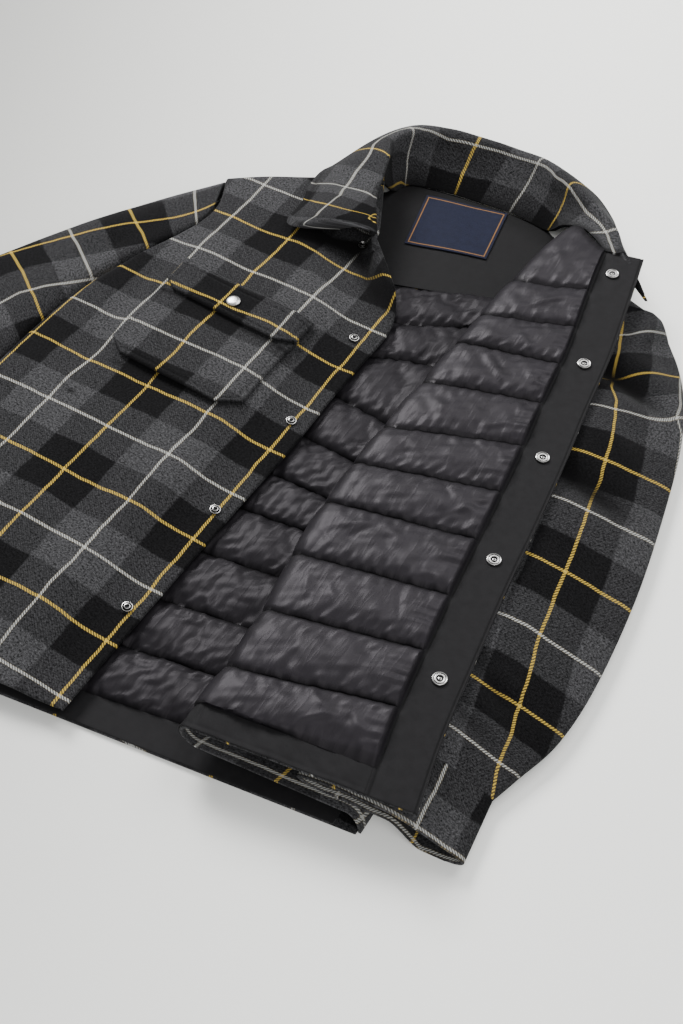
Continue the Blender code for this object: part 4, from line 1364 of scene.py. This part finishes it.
@dataclass
class Quilting:
    """A padded lining blown up between its seams, with this many rows of faces to a channel.

    It starts at start_puff, swells by its pressure as its cloth grows by this share, and reaches most at
    the highest, all in millimetres.
    """

    name: str
    columns: int
    channel_rows: int
    channels: int
    place: Placer
    start_puff: float
    pressure: float
    growth: float
    most: float
    seed: int
    frames: int = 22
    under: Callable[[Array, Array], Array] = field(default=lambda u, v: np.ones(len(u)))
    gather: float = 0.9
    wrinkle: float = 1.5
    seam_shade_width: float = 0.05

    def build(self, nylon: Material, node: str) -> Object:
        """Builds the lining in place of its node.

        Args:
            nylon: Its finish.
            node: The node that it replaces.

        Returns:
            The finished lining.
        """
        cloth = Cloth(self.name, self.columns, self.rows(), self.place, in_plan(self.place), 1.0, edge=0.0)
        obj = cloth.grid()
        flat = self.cut_places(obj)
        u, v = flat[:, 0], flat[:, 1]
        base = to_row(self.place(u, v))
        normal = normals_at(self.place, u, v)
        wave = np.abs(np.sin(math.pi * self.channels * v)) ** 0.7
        sides = smoothstep(np.minimum(u / 0.03, (1 - u) / 0.016))
        limit = self.under(u, v)
        x, y = base[:, 0] / MM, base[:, 1] / MM
        uneven = 1 + 0.16 * Ripples(self.seed, 45.0, 9).at(x, y)
        uneven = uneven + 0.06 * Ripples(self.seed + 1, 12.0, 9).at(x, y)
        puff = wave * self.start_puff * uneven * sides * limit * MM
        set_points(obj, base + normal * puff[:, None])
        self.pin(obj, u, v)
        self.inflate(obj)
        folds = self.gathers(u, v, x) + creases(x, y, self.wrinkles(x, y)) * wave
        crisp = np.maximum(wave, 0.1) ** -0.35
        self.settle(obj, base, normal, limit, crisp, folds * sides * np.minimum(limit, 1.0) * MM)
        place = v * self.channels
        # Painted shade along the sewn seams.
        write_shade(obj, hump(np.abs(place - np.round(place)), 0.0, self.seam_shade_width))
        cloth.thicken(obj)
        finish_piece(obj, nylon, [node])
        return obj

    def rows(self) -> int:
        """How many rows of faces the lining has."""
        return self.channels * self.channel_rows

    def cut_places(self, obj: Object) -> Array:
        """The u and v of every point of the grid, in its own order."""
        columns, rows = self.columns + 1, self.rows() + 1
        index = np.arange(len(obj.data.vertices))
        return np.stack([(index % columns) / (columns - 1), (index // columns) / (rows - 1)], axis=-1)

    def pin(self, obj: Object, u: Array, v: Array) -> None:
        """Holds the seams and the borders while the cloth swells."""
        place = v * self.channels
        seam = np.abs(place - np.round(place)) < 0.2 / self.channel_rows
        border = (u < 1e-4) | (u > 1 - 1e-4)
        held = obj.vertex_groups.new(name="sewn")
        held.add([int(k) for k in np.flatnonzero(seam | border)], 1.0, "REPLACE")

    def inflate(self, obj: Object) -> None:
        """Swells the cloth between its seams by a cloth simulation, and keeps the result in the mesh."""
        swell = obj.modifiers.new("swell", "CLOTH")
        settings = {
            "quality": 6, "mass": 0.12, "air_damping": 2.0, "tension_stiffness": 12.0,
            "compression_stiffness": 12.0, "shear_stiffness": 4.0, "bending_stiffness": 0.05,
            "tension_damping": 4.0, "compression_damping": 4.0, "use_pressure": True,
            "uniform_pressure_force": self.pressure, "vertex_group_mass": "sewn", "shrink_min": -self.growth,
        }
        for name, value in settings.items():
            setattr(swell.settings, name, value)
        swell.settings.effector_weights.gravity = 0.0
        swell.collision_settings.use_collision = False
        swell.point_cache.frame_start = 1
        swell.point_cache.frame_end = self.frames
        scene = bpy.context.scene
        for frame_number in range(1, self.frames + 1):
            scene.frame_set(frame_number)
        choose(obj)
        bpy.ops.object.modifier_apply(modifier="swell")
        scene.frame_set(1)

    def gathers(self, u: Array, v: Array, x: Array) -> Array:
        """Short puckers that run out from the seams and from the strip's edge, in millimetres."""
        place = v * self.channels
        seam = np.round(place)
        away = np.abs(place - seam)
        fan = x + (place - seam) * 22.0 * np.sin(seam * 2.3 + x / 40.0)
        wave = np.sin(fan / 1.75 + seam * 5.1) + 0.8 * np.sin(fan / 2.9 + seam * 3.3)
        wave = wave + 0.5 * np.sin(x / 17.0 + seam)
        near_seam = np.exp(-(((away - 0.11) / 0.12) ** 2))
        by_strip = np.sin(v * 690.0 / 1.9 + 2.0 * np.sin(v * 55.0)) * smoothstep((u - 0.82) / 0.14)
        return self.gather * (0.55 * wave * near_seam + 0.8 * by_strip * np.sin(math.pi * place) ** 2)

    def wrinkles(self, x: Array, y: Array) -> list[tuple[float, ...]]:
        """Soft slanting wrinkles over the puffs, as rows for creases."""
        rng = np.random.default_rng(self.seed)
        rows = []
        for _ in range(9 * self.channels):
            x0, y0 = rng.uniform(x.min(), x.max()), rng.uniform(y.min(), y.max())
            turn = math.radians(rng.choice((-1.0, 1.0)) * rng.uniform(20, 75))
            length = rng.uniform(28, 62)
            height = self.wrinkle * rng.choice((-0.8, 1.0)) * rng.uniform(0.5, 1.0)
            x1, y1 = x0 + length * math.cos(turn), y0 + length * math.sin(turn)
            rows.append((x0, y0, x1, y1, height, rng.uniform(2.2, 4.5)))
        return rows

    def settle(self, obj: Object, base: Array, normal: Array, limit: Array, crisp: Array,
               folds: Array) -> None:
        """Keeps the swelling within its space, above the cloth that it lies on.

        Args:
            obj: The lining.
            base: Its points before it was filled.
            normal: The way that it swells at each.
            limit: The share of the full height that it may reach.
            crisp: How much steeper it rises beside the seams.
            folds: The height of its puckers and wrinkles.
        """
        moved = points_of(obj) - base
        height = (moved * normal).sum(axis=1)
        sideways = moved - normal * height[:, None]
        most = self.most * MM * limit
        height = most * np.tanh(np.maximum(height * crisp, 0.0) / np.maximum(most, 1e-6))
        height = np.maximum(height + folds, 0.0)
        slid = np.linalg.norm(sideways, axis=1, keepdims=True)
        sideways *= np.minimum(1.0, 0.006 / np.maximum(slid, 1e-9))
        set_points(obj, base + normal * height[:, None] + sideways)


# Sleeves


@dataclass
class Sleeve:
    """A sleeve or a cuff, lying flattened.

    gold_line gives how far the gold line along the sleeve lies from its crown, by share of its length.
    cross_lines turns millimetres along the sleeve into millimetres of the check.
    """

    name: str
    node: str
    rows: tuple
    raised: bool
    columns: int
    count: int
    thickness: float = WOOL
    folds: tuple = ()
    clearance: float = 18.0
    fall: float = 32.0
    seed: int = 3
    shoulder_rise: float = 0.0
    square_shoulder: float = 0.0
    gold_line: tuple = ((0, 0), (1, 0))
    cross_lines: tuple = ((0, 0), (1000, 1000))
    slant: float = 0.0
    layer: float = 24.0 + WOOL / 2 + 1.2

    def under(self, x: Array, y: Array) -> Array:
        """Height of the layer that a raised sleeve lies on, falling to the surface beyond the body's side."""
        if not self.raised:
            return np.zeros(np.shape(x))
        beyond = smoothstep((x - side_at(LEFT_SIDE, y) - self.clearance) / self.fall)
        return self.layer * (1 - beyond)

    def place(self, u: Array, v: Array) -> Array:
        """Points of the outer face, all round."""
        row = spline(self.rows, v)
        outer_x, outer_y, inner_x, inner_y, crown = row.T
        if not self.raised:
            inner_x = np.minimum(inner_x, side_at(RIGHT_SIDE, inner_y) - WOOL / 2 - 2 * SEAM_GAP)
        angle = 2 * math.pi * (1 - u if self.turned() else u)
        s = (1 + np.cos(angle)) / 2
        x, y = lerp(inner_x, outer_x, s), lerp(inner_y, outer_y, s)
        low = self.under(x, y)
        top = crown + self.shoulder_rise * (1 - s) * (1 - smoothstep((v - 0.1) / 0.35))
        if self.raised:
            top = np.maximum(crown - 20.0 * smoothstep((s - 0.5) / 0.5), low + 10.0)
        upper = np.sin(angle) > 0
        square = self.square_shoulder * (1 - smoothstep((v - 0.2) / 0.25)) * (s < 0.5)
        power = np.where(upper, 3.0 + 6.0 * square, 9.0)
        share = np.sqrt(np.maximum(1 - np.abs(np.cos(angle)) ** power, 0.0))
        middle, half = (low + top) / 2, (top - low) / 2
        z = middle + half * share * np.where(upper, 1.0, -1.0)
        dome = np.where(upper, share**2, 0.0)
        z = z + creases(x, y, self.folds) * dome
        z = z + 0.7 * Ripples(self.seed, 70.0).at(x, y) * dome
        return stacked(x, y, np.where(z < 0.8, 0.0, z))

    def turned(self) -> bool:
        """Whether the ring runs the other way, so that its faces point out."""
        first, last = self.rows[0], self.rows[-1]
        along = np.array([last[0] - first[0], last[1] - first[1]])
        across = np.array([first[0] - first[2], first[1] - first[3]])
        return bool(across[0] * along[1] - across[1] * along[0] > 0)

    def pattern(self, u: Array, v: Array) -> Array:
        """The check follows the sleeve's length and its girth."""
        rings = np.linspace(0, 1, 121)
        turns = np.linspace(0, 1, 241)
        grid_u, grid_v = np.meshgrid(turns, rings)
        points = self.place(grid_u.ravel(), grid_v.ravel()).reshape(121, 241, 3)
        steps = np.linalg.norm(np.diff(points, axis=1), axis=2)
        girth = np.concatenate([np.zeros((121, 1)), steps.cumsum(axis=1)], axis=1)
        crown = 0.75 if self.turned() else 0.25
        girth -= girth[:, [int(round(crown * 240))]]
        row_place = np.clip(v, 0, 1) * 120
        k = np.minimum(row_place.astype(int), 119)
        t = row_place - k
        column = np.clip(u, 0, 1) * 240
        c = np.minimum(column.astype(int), 239)
        s = column - c
        def on_ring(ring: Array) -> Array:
            """Millimetres round these rings."""
            return girth[ring, c] * (1 - s) + girth[ring, c + 1] * s

        across = on_ring(k) * (1 - t) + on_ring(k + 1) * t
        if self.turned():
            across = -across
        across = across - np.interp(v, *zip(*self.gold_line))
        centre = spline([((r[0] + r[2]) / 2, (r[1] + r[3]) / 2) for r in self.rows], rings)
        lengths = np.linalg.norm(np.diff(centre, axis=0), axis=1).cumsum()
        run = np.interp(v, rings, np.concatenate([[0.0], lengths]))
        run = run - self.slant * (1 - smoothstep((v - 0.2) / 0.25)) * np.clip(across, -90, 90)
        return np.stack([across, np.interp(run, *zip(*self.cross_lines))], axis=-1)

    def build(self, wool: Material, rests_on: Sequence[str]) -> None:
        """Builds the sleeve in place of its node."""
        cloth = Cloth(self.name, self.columns, self.count, self.place, self.pattern, self.thickness,
                      closed=True, edge=0.9, shade=self.shade)
        lay_cloth(cloth, wool, self.node)

    def shade(self, u: Array, v: Array) -> Array:
        """Painted shade in the deep folds, most at their middle."""
        x, y, _ = self.place(u, v).T
        deep = [(*row[:4], -row[4] / 9.0, row[5] * 0.75) for row in self.folds if row[4] < -3.5]
        return np.maximum(creases(x, y, deep), 0.0) * 0.85


# Collar


@dataclass
class Collar:
    """The turned-down collar, standing round the neck."""

    thickness: float = 3.4
    ripples: Ripples = field(default_factory=lambda: Ripples(21, 60.0))

    def knots(self, v: Array) -> Array:
        """The five knots across the collar at places round the neck."""
        row = spline(COLLAR, v)
        base, roll, edge, push = row[:, 0:3], row[:, 3:6], row[:, 6:9], row[:, 9:10]
        edge = lerp(edge, base, 0.5 * hump(v, 0.962, 0.02)[:, None])
        outward = unit((edge - base) * np.array([1, 1, 0]))
        stand = lerp(base, roll, 0.55) + outward * 2.0
        leaf = lerp(roll, edge, 0.45) + outward * push + np.array([0, 0, 0.6]) * push
        return np.stack([base, stand, roll, leaf, edge], axis=1)

    def middle(self, u: Array, v: Array) -> Array:
        """Points of the collar's middle, from its base over the roll to its free edge."""
        knots = self.knots(v)
        place = np.clip(u, 0, 1) * 4
        k = np.minimum(place.astype(int), 3)
        s = (place - k)[:, None]
        rows = np.arange(len(u))
        return bend(*(knots[rows, np.clip(k + j, 0, 4)] for j in (-1, 0, 1, 2)), s)

    def place(self, u: Array, v: Array) -> Array:
        """Points of the collar's outer face."""
        points = self.middle(u, v)
        normal = -normals_at(self.middle, u, v)
        soft = 0.5 * self.ripples.at(points[:, 0], points[:, 1] + 2 * points[:, 2]) * np.sin(math.pi * u)
        groove = -0.7 * hump(u, 0.93, 0.012) - 0.6 * hump(u, 0.2, 0.012)
        return points + normal * (self.thickness / 2 + soft + groove)[:, None]

    def cloth_length(self, u: Array, v: Array) -> Array:
        """Millimetres of cloth from the base to these places."""
        steps = np.linalg.norm(np.diff(self.knots(v), axis=1), axis=2)
        run = np.concatenate([np.zeros((len(v), 1)), steps.cumsum(axis=1)], axis=1)
        place = np.clip(u, 0, 1) * 4
        k = np.minimum(place.astype(int), 3)
        rows = np.arange(len(v))
        return run[rows, k] + (place - k) * steps[rows, k]

    def pattern(self, u: Array, v: Array) -> Array:
        """The check runs round the neck and down the leaf."""
        leaning = v - 0.2 * np.maximum(u - 0.5, 0) * (1 - smoothstep((v - 0.3) / 0.15))
        along = np.interp(leaning, *zip(*COLLAR_CROSS))
        pale = np.interp(v, *zip(*COLLAR_PALE))
        across = self.cloth_length(u, v) - self.cloth_length(pale, v) + 65.0
        return np.stack([along, across], axis=-1)

    def build(self, wool: Material) -> None:
        """Builds the collar in place of its node."""
        # The collar gets painted shade in its stitched groove and at the foot of its stand.
        cloth = Cloth("collar_cloth", 56, 220, self.place, self.pattern, self.thickness, low=1.0, edge=1.2,
                      shade=lambda u, v: 0.35 * hump(u, 0.93, 0.014) + 0.7 * (1 - smoothstep(u / 0.16)))
        lay_cloth(cloth, wool, "collar")


# Snaps


@dataclass
class Snaps:
    """The snaps: turned metal rings, studs and a cap, as rows of radius, height and darkness, which is painted
    shade in their grooves, holes and foot.
    """

    ring: Rows = (
        (6.7, 0.0, 1), (6.8, 0.9, 0.2), (6.5, 1.6, 0), (5.9, 1.9, 0), (5.4, 1.7, 0.3), (5.2, 1.0, 1),
        (4.9, 1.0, 1), (4.7, 1.6, 0.2), (4.0, 1.8, 0), (3.3, 1.6, 0.1), (3.1, 0.9, 1), (2.0, 0.5, 1),
        (1.7, 1.1, 0.6), (0.9, 1.3, 0.1), (0.5, 0.9, 1), (0.02, 0.8, 1),
    )
    stud: Rows = (
        (5.1, 0.0, 1), (5.2, 0.7, 0.5), (5.0, 1.2, 0), (4.5, 1.3, 0.2), (4.1, 0.9, 1), (3.3, 0.6, 1),
        (3.1, 1.2, 0.6), (2.8, 1.9, 0), (2.2, 2.1, 0.2), (1.8, 1.8, 0.7), (1.5, 1.1, 1), (0.02, 0.9, 1),
    )
    cap: Rows = (
        (7.0, 0.0, 1), (7.5, 0.6, 0.2), (7.3, 1.3, 0), (6.2, 2.0, 0), (4.0, 2.45, 0), (0.02, 2.6, 0),
    )

    @staticmethod
    def turned(name: str, profile: Rows, centre: Vector, normal: Vector, sides: int = 40) -> Object:
        """A turned piece standing on a panel.

        Args:
            name: The piece's name.
            profile: Rows of radius and height in millimetres and darkness as painted shade, from the foot
                round to the middle.
            centre: The middle of its foot, in the row frame.
            normal: The way that it faces.
            sides: How many sides it has.

        Returns:
            The piece.
        """
        deselect_all()
        bpy.ops.mesh.primitive_circle_add(vertices=sides, radius=profile[0][0] * MM, fill_type="NGON")
        obj = bpy.context.active_object
        obj.name = obj.data.name = name
        bpy.ops.object.mode_set(mode="EDIT")
        bpy.ops.mesh.select_all(action="SELECT")
        radius, height, _ = profile[0]
        for next_radius, next_height, _ in profile[1:]:
            step = (0, 0, (next_height - height) * MM)
            bpy.ops.mesh.extrude_region_move(TRANSFORM_OT_translate={"value": step})
            factor = max(next_radius, 0.02) / max(radius, 0.02)
            bpy.ops.transform.resize(value=(factor, factor, 1.0), center_override=(0, 0, next_height * MM))
            radius, height = next_radius, next_height
        bpy.ops.mesh.select_all(action="SELECT")
        bpy.ops.mesh.normals_make_consistent(inside=False)
        bpy.ops.object.mode_set(mode="OBJECT")
        # Painted shade in the grooves, holes and foot, read by the nickel finish.
        painted_recess_shade = obj.data.attributes.new("painted_recess_shade", "FLOAT", "POINT")
        painted_recess_shade.data.foreach_set("value", [profile[k // sides][2] for k in range(len(obj.data.vertices))])
        turn = normal.to_track_quat("Z", "Y").to_matrix()
        set_points(obj, points_of(obj) @ np.array(turn).T + np.array(centre))
        choose(obj)
        bpy.ops.object.shade_smooth_by_angle(angle=math.radians(40))
        return obj

    def seat(self, node: str) -> tuple[Vector, Vector]:
        """The middle of a node's foot and the way that it faces."""
        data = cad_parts[node].data
        points = np.array([tuple(v.co) for v in data.vertices])
        centre = points.mean(axis=0)
        _, _, axes = np.linalg.svd(points - centre)
        normal = axes[2] if axes[2][2] > 0 else -axes[2]
        foot = ((points - centre) @ normal).min()
        return Vector(centre + normal * foot), Vector(normal)

    def build(self, metal: Material) -> None:
        """Builds every snap in place of its node."""
        rows = []
        for k in range(1, 6):
            for kind, profile in (("front_socket", self.ring), ("front_stud", self.stud)):
                rows.append((f"{kind}_{k}_snap", f"{kind}_{k}", profile))
        rows.append(("flap_cap_snap", "flap_snap_cap", self.cap))
        for name, node, profile in rows:
            obj = self.turned(name, profile, *self.seat(node))
            finish_piece(obj, metal, [node])


# Sewing


@dataclass
class Stitching:
    """Rows of stitches copied from one modelled stitch."""

    length: float = 2.6
    pitch: float = 3.6
    radius: float = 0.26
    lift: float = 0.3

    def seams(self, quilt: Quilting, low: float, high: float) -> list[Array]:
        """Points along a lining's sewn seams, between these shares of its width."""
        u = np.linspace(low, high, 160)
        lines = []
        for k in range(1, quilt.channels):
            v = np.full(len(u), k / quilt.channels)
            lines.append(quilt.place(u, v) + normals_at(quilt.place, u, v) * self.lift)
        return lines

    def model(self) -> tuple[Array, list[tuple[int, ...]]]:
        """One stitch along +X as points in millimetres and faces."""
        deselect_all()
        bpy.ops.mesh.primitive_uv_sphere_add(segments=6, ring_count=4, radius=1.0)
        obj = bpy.context.active_object
        points = points_of(obj)[:, [2, 0, 1]] * np.array([self.length / 2, self.radius, self.radius])
        faces = [tuple(face.vertices) for face in obj.data.polygons]
        bpy.data.objects.remove(obj, do_unlink=True)
        return points, faces

    def sew(self, name: str, lines: Sequence[Array], thread: Material) -> None:
        """Sews stitches along lines given as points in the plan.

        Args:
            name: The name of the row of stitches.
            lines: Points along each seam, close together, in millimetres.
            thread: The finish.
        """
        shape, faces = self.model()
        all_points, all_faces = [], []
        for line in lines:
            steps = np.linalg.norm(np.diff(line, axis=0), axis=1)
            run = np.concatenate([[0.0], steps.cumsum()])
            for start in np.arange(self.pitch, run[-1] - self.pitch, self.pitch):
                ends = [np.array([np.interp(start + d, run, line[:, axis]) for axis in range(3)])
                        for d in (-self.length / 2, self.length / 2)]
                along = ends[1] - ends[0]
                along /= max(np.linalg.norm(along), 1e-9)
                side = np.cross([0.0, 0.0, 1.0], along)
                side /= max(np.linalg.norm(side), 1e-9)
                up = np.cross(along, side)
                turned = shape @ np.stack([along, side, up])
                offset = len(all_points) * len(shape)
                all_points.append(turned + (ends[0] + ends[1]) / 2)
                all_faces.extend(tuple(k + offset for k in face) for face in faces)
        mesh = bpy.data.meshes.new(name)
        mesh.from_pydata(to_row(np.concatenate(all_points)).tolist(), [], all_faces)
        mesh.shade_smooth()
        obj = bpy.data.objects.new(name, mesh)
        bpy.context.scene.collection.objects.link(obj)
        finish_piece(obj, thread)


# Studio


@dataclass
class Studio:
    """The pale floor, the soft lights and the camera."""

    lens: float = 49.22
    eye: tuple[float, float, float] = (528.1, -864.6, 1036.0)
    azimuth: float = 31.3
    elevation: float = 51.0
    # Floor colours: painted shade on the left and painted light on the right.
    shaded: Colour = (0.24, 0.239, 0.228, 1.0)
    lit: Colour = (0.92, 0.92, 0.882, 1.0)
    lights: tuple = (
        ("key", 150.0, 1.2, (-1.7, 1.25, 2.0)), ("fill", 72.0, 2.6, (1.6, -1.8, 2.4)),
        ("top", 62.0, 2.0, (0.6, 1.7, 2.3)),
    )

    def floor(self) -> None:
        """Lays the floor just under the garment."""
        deselect_all()
        bpy.ops.mesh.primitive_plane_add(size=14, location=(0, 0, -0.0004))
        obj = bpy.context.active_object
        obj.name = "floor"
        made, g, shader = Finishes.start("pale_floor")
        x, y, _ = g.axes(g.object_place())
        # Painted shade on the left of the floor, rising to painted light on the right.
        side = g.ramp(g.math("ADD", x, g.math("MULTIPLY", y, 0.3)), -0.85, 0.4)
        g.feed(shader.inputs["Base Color"], g.mix(side, self.shaded, self.lit))
        g.surface(shader, 0.9, 0.1)
        obj.data.materials.append(made)

    def light(self, name: str, energy: float, size: float, place: tuple[float, float, float]) -> None:
        """Adds a soft lamp that faces the garment."""
        deselect_all()
        bpy.ops.object.light_add(type="AREA", location=place)
        obj = bpy.context.active_object
        obj.name = name
        obj.data.energy = energy
        obj.data.size = size
        obj.rotation_euler = (-Vector(place)).to_track_quat("-Z", "Y").to_euler()

    def camera(self) -> None:
        """Places the camera at the photograph's angle."""
        data = bpy.data.cameras.new("camera")
        data.lens = self.lens
        data.clip_start, data.clip_end = 0.05, 40.0
        obj = bpy.data.objects.new("camera", data)
        bpy.context.scene.collection.objects.link(obj)
        obj.location = Vector(self.eye) * MM + SHIFT
        obj.rotation_euler = (math.radians(90 - self.elevation), 0.0, math.radians(self.azimuth))
        bpy.context.scene.camera = obj

    def build(self) -> None:
        """Builds the whole studio."""
        self.floor()
        for row in self.lights:
            self.light(*row)
        world = bpy.data.worlds.new("studio")
        world.use_nodes = True
        sky = world.node_tree.nodes["Background"]
        sky.inputs["Color"].default_value = (0.95, 0.97, 1.0, 1.0)
        sky.inputs["Strength"].default_value = 0.46
        bpy.context.scene.world = world
        self.camera()


# The whole garment


def dress_sleeves(wool: Material) -> None:
    """Builds both sleeves and cuffs, their check laid as in the photograph."""
    cuff_lines = ((0, 4.5), (80, 84.5))
    Sleeve(
        "right_sleeve_cloth", "right_sleeve", RIGHT_SLEEVE, False, 104, 130, seed=4, shoulder_rise=4.0,
        square_shoulder=1.0,
        folds=(
            (-320, 100, -385, 20, 2.0, 16), (-300, 60, -330, -40, -2.5, 14),
            (-400, -60, -440, -180, 2.0, 18),
        ),
        gold_line=((0, 22), (0.15, 12), (0.3, -13), (0.4, -32), (0.5, -55), (0.7, -70), (1, -75)),
        cross_lines=((0, 95.7), (106, 0), (250, -130), (394, -260), (538, -390)),
    ).build(wool, [])
    Sleeve("right_cuff_cloth", "right_cuff", RIGHT_CUFF, False, 110, 30, 3.0, seed=5,
           gold_line=((0, -2), (1, -2)), cross_lines=cuff_lines).build(wool, [])
    Sleeve(
        "left_sleeve_cloth", "left_sleeve", LEFT_SLEEVE, True, 120, 160, seed=6, slant=0.55,
        folds=(
            (150, 130, 328, 107, -11.0, 15), (225, 150, 330, 150, 3.0, 16), (190, -14, 356, -36, -9.5, 18),
            (240, 40, 350, 30, 2.5, 20), (262, -232, 345, -290, -5.0, 9), (255, -290, 352, -318, -4.0, 9),
            (290, -180, 370, -230, 2.0, 16), (250, -100, 350, -120, -2.0, 22), (270, -258, 350, -262, 2.5, 9),
        ),
        gold_line=(
            (0, -8), (0.29, -14), (0.32, -24), (0.41, -33), (0.64, -35), (0.76, -49), (0.95, -73), (1, -78),
        ),
        cross_lines=(
            (0, 112), (48, 65), (106, 0), (153, -65), (220, -130), (282, -195), (357, -260), (428, -325),
            (497, -390), (547, -455), (580, -488),
        ),
    ).build(wool, ["left_front_cloth"])
    Sleeve("left_cuff_cloth", "left_cuff", LEFT_CUFF, True, 120, 30, 3.0, seed=8,
           gold_line=((0, 41), (1, 41)), cross_lines=cuff_lines).build(wool, ["left_front_cloth"])


def main() -> None:
    """Builds the scene piece by piece."""
    logging.basicConfig(level=logging.INFO, format="%(name)s: %(message)s", stream=sys.stdout)
    Studio().build()
    shared = Finishes()
    wool = CheckedWool().build("checked_wool", shared)
    nylon = SatinNylon().build("satin_nylon", shared)
    facing = PlainWeave().build("black_facing", shared)
    navy = WovenLabel().build("navy_tape", shared)
    metal = Nickel().build("nickel")
    thread = Thread().build("dark_thread", shared)

    panel = RightFront()
    panel.build(wool)
    ChestPocket(panel).build(wool)

    back = Back()
    back.build(wool, facing, navy)
    back_quilt = Quilting(
        "back_lining_quilt", 112, 20, len(BACK_SEAMS) - 1, back.lining_place,
        start_puff=8.0, pressure=4.0, growth=0.03, most=10.0, seed=7,
    )
    # A darker copy of the nylon: painted shade on the back lining.
    shaded = SatinNylon((0.0085, 0.0077, 0.0090, 1.0), specular=0.11).build("shaded_nylon", shared)
    back_quilt.build(shaded, "back_lining")

    front = LeftFront()
    front.build(wool, facing)
    front_quilt = Quilting(
        "left_lining_quilt", 112, 24, len(LEFT_SEAMS) - 1, front.lining_place,
        start_puff=9.0, pressure=4.5, growth=0.06, most=12.0, seed=9,
        under=lambda u, v: lerp(0.3, 1.0, smoothstep((u - 0.1) / 0.35)),
    )
    front_quilt.build(nylon, "left_front_lining")

    dress_sleeves(wool)
    Collar().build(wool)
    Snaps().build(metal)

    sewing = Stitching()
    sewing.sew("front_seam_stitches", sewing.seams(front_quilt, 0.1, 1.0), thread)
    sewing.sew("back_seam_stitches", sewing.seams(back_quilt, 0.2, 0.88), thread)

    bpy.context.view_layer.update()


if __name__ == "__main__":
    main()
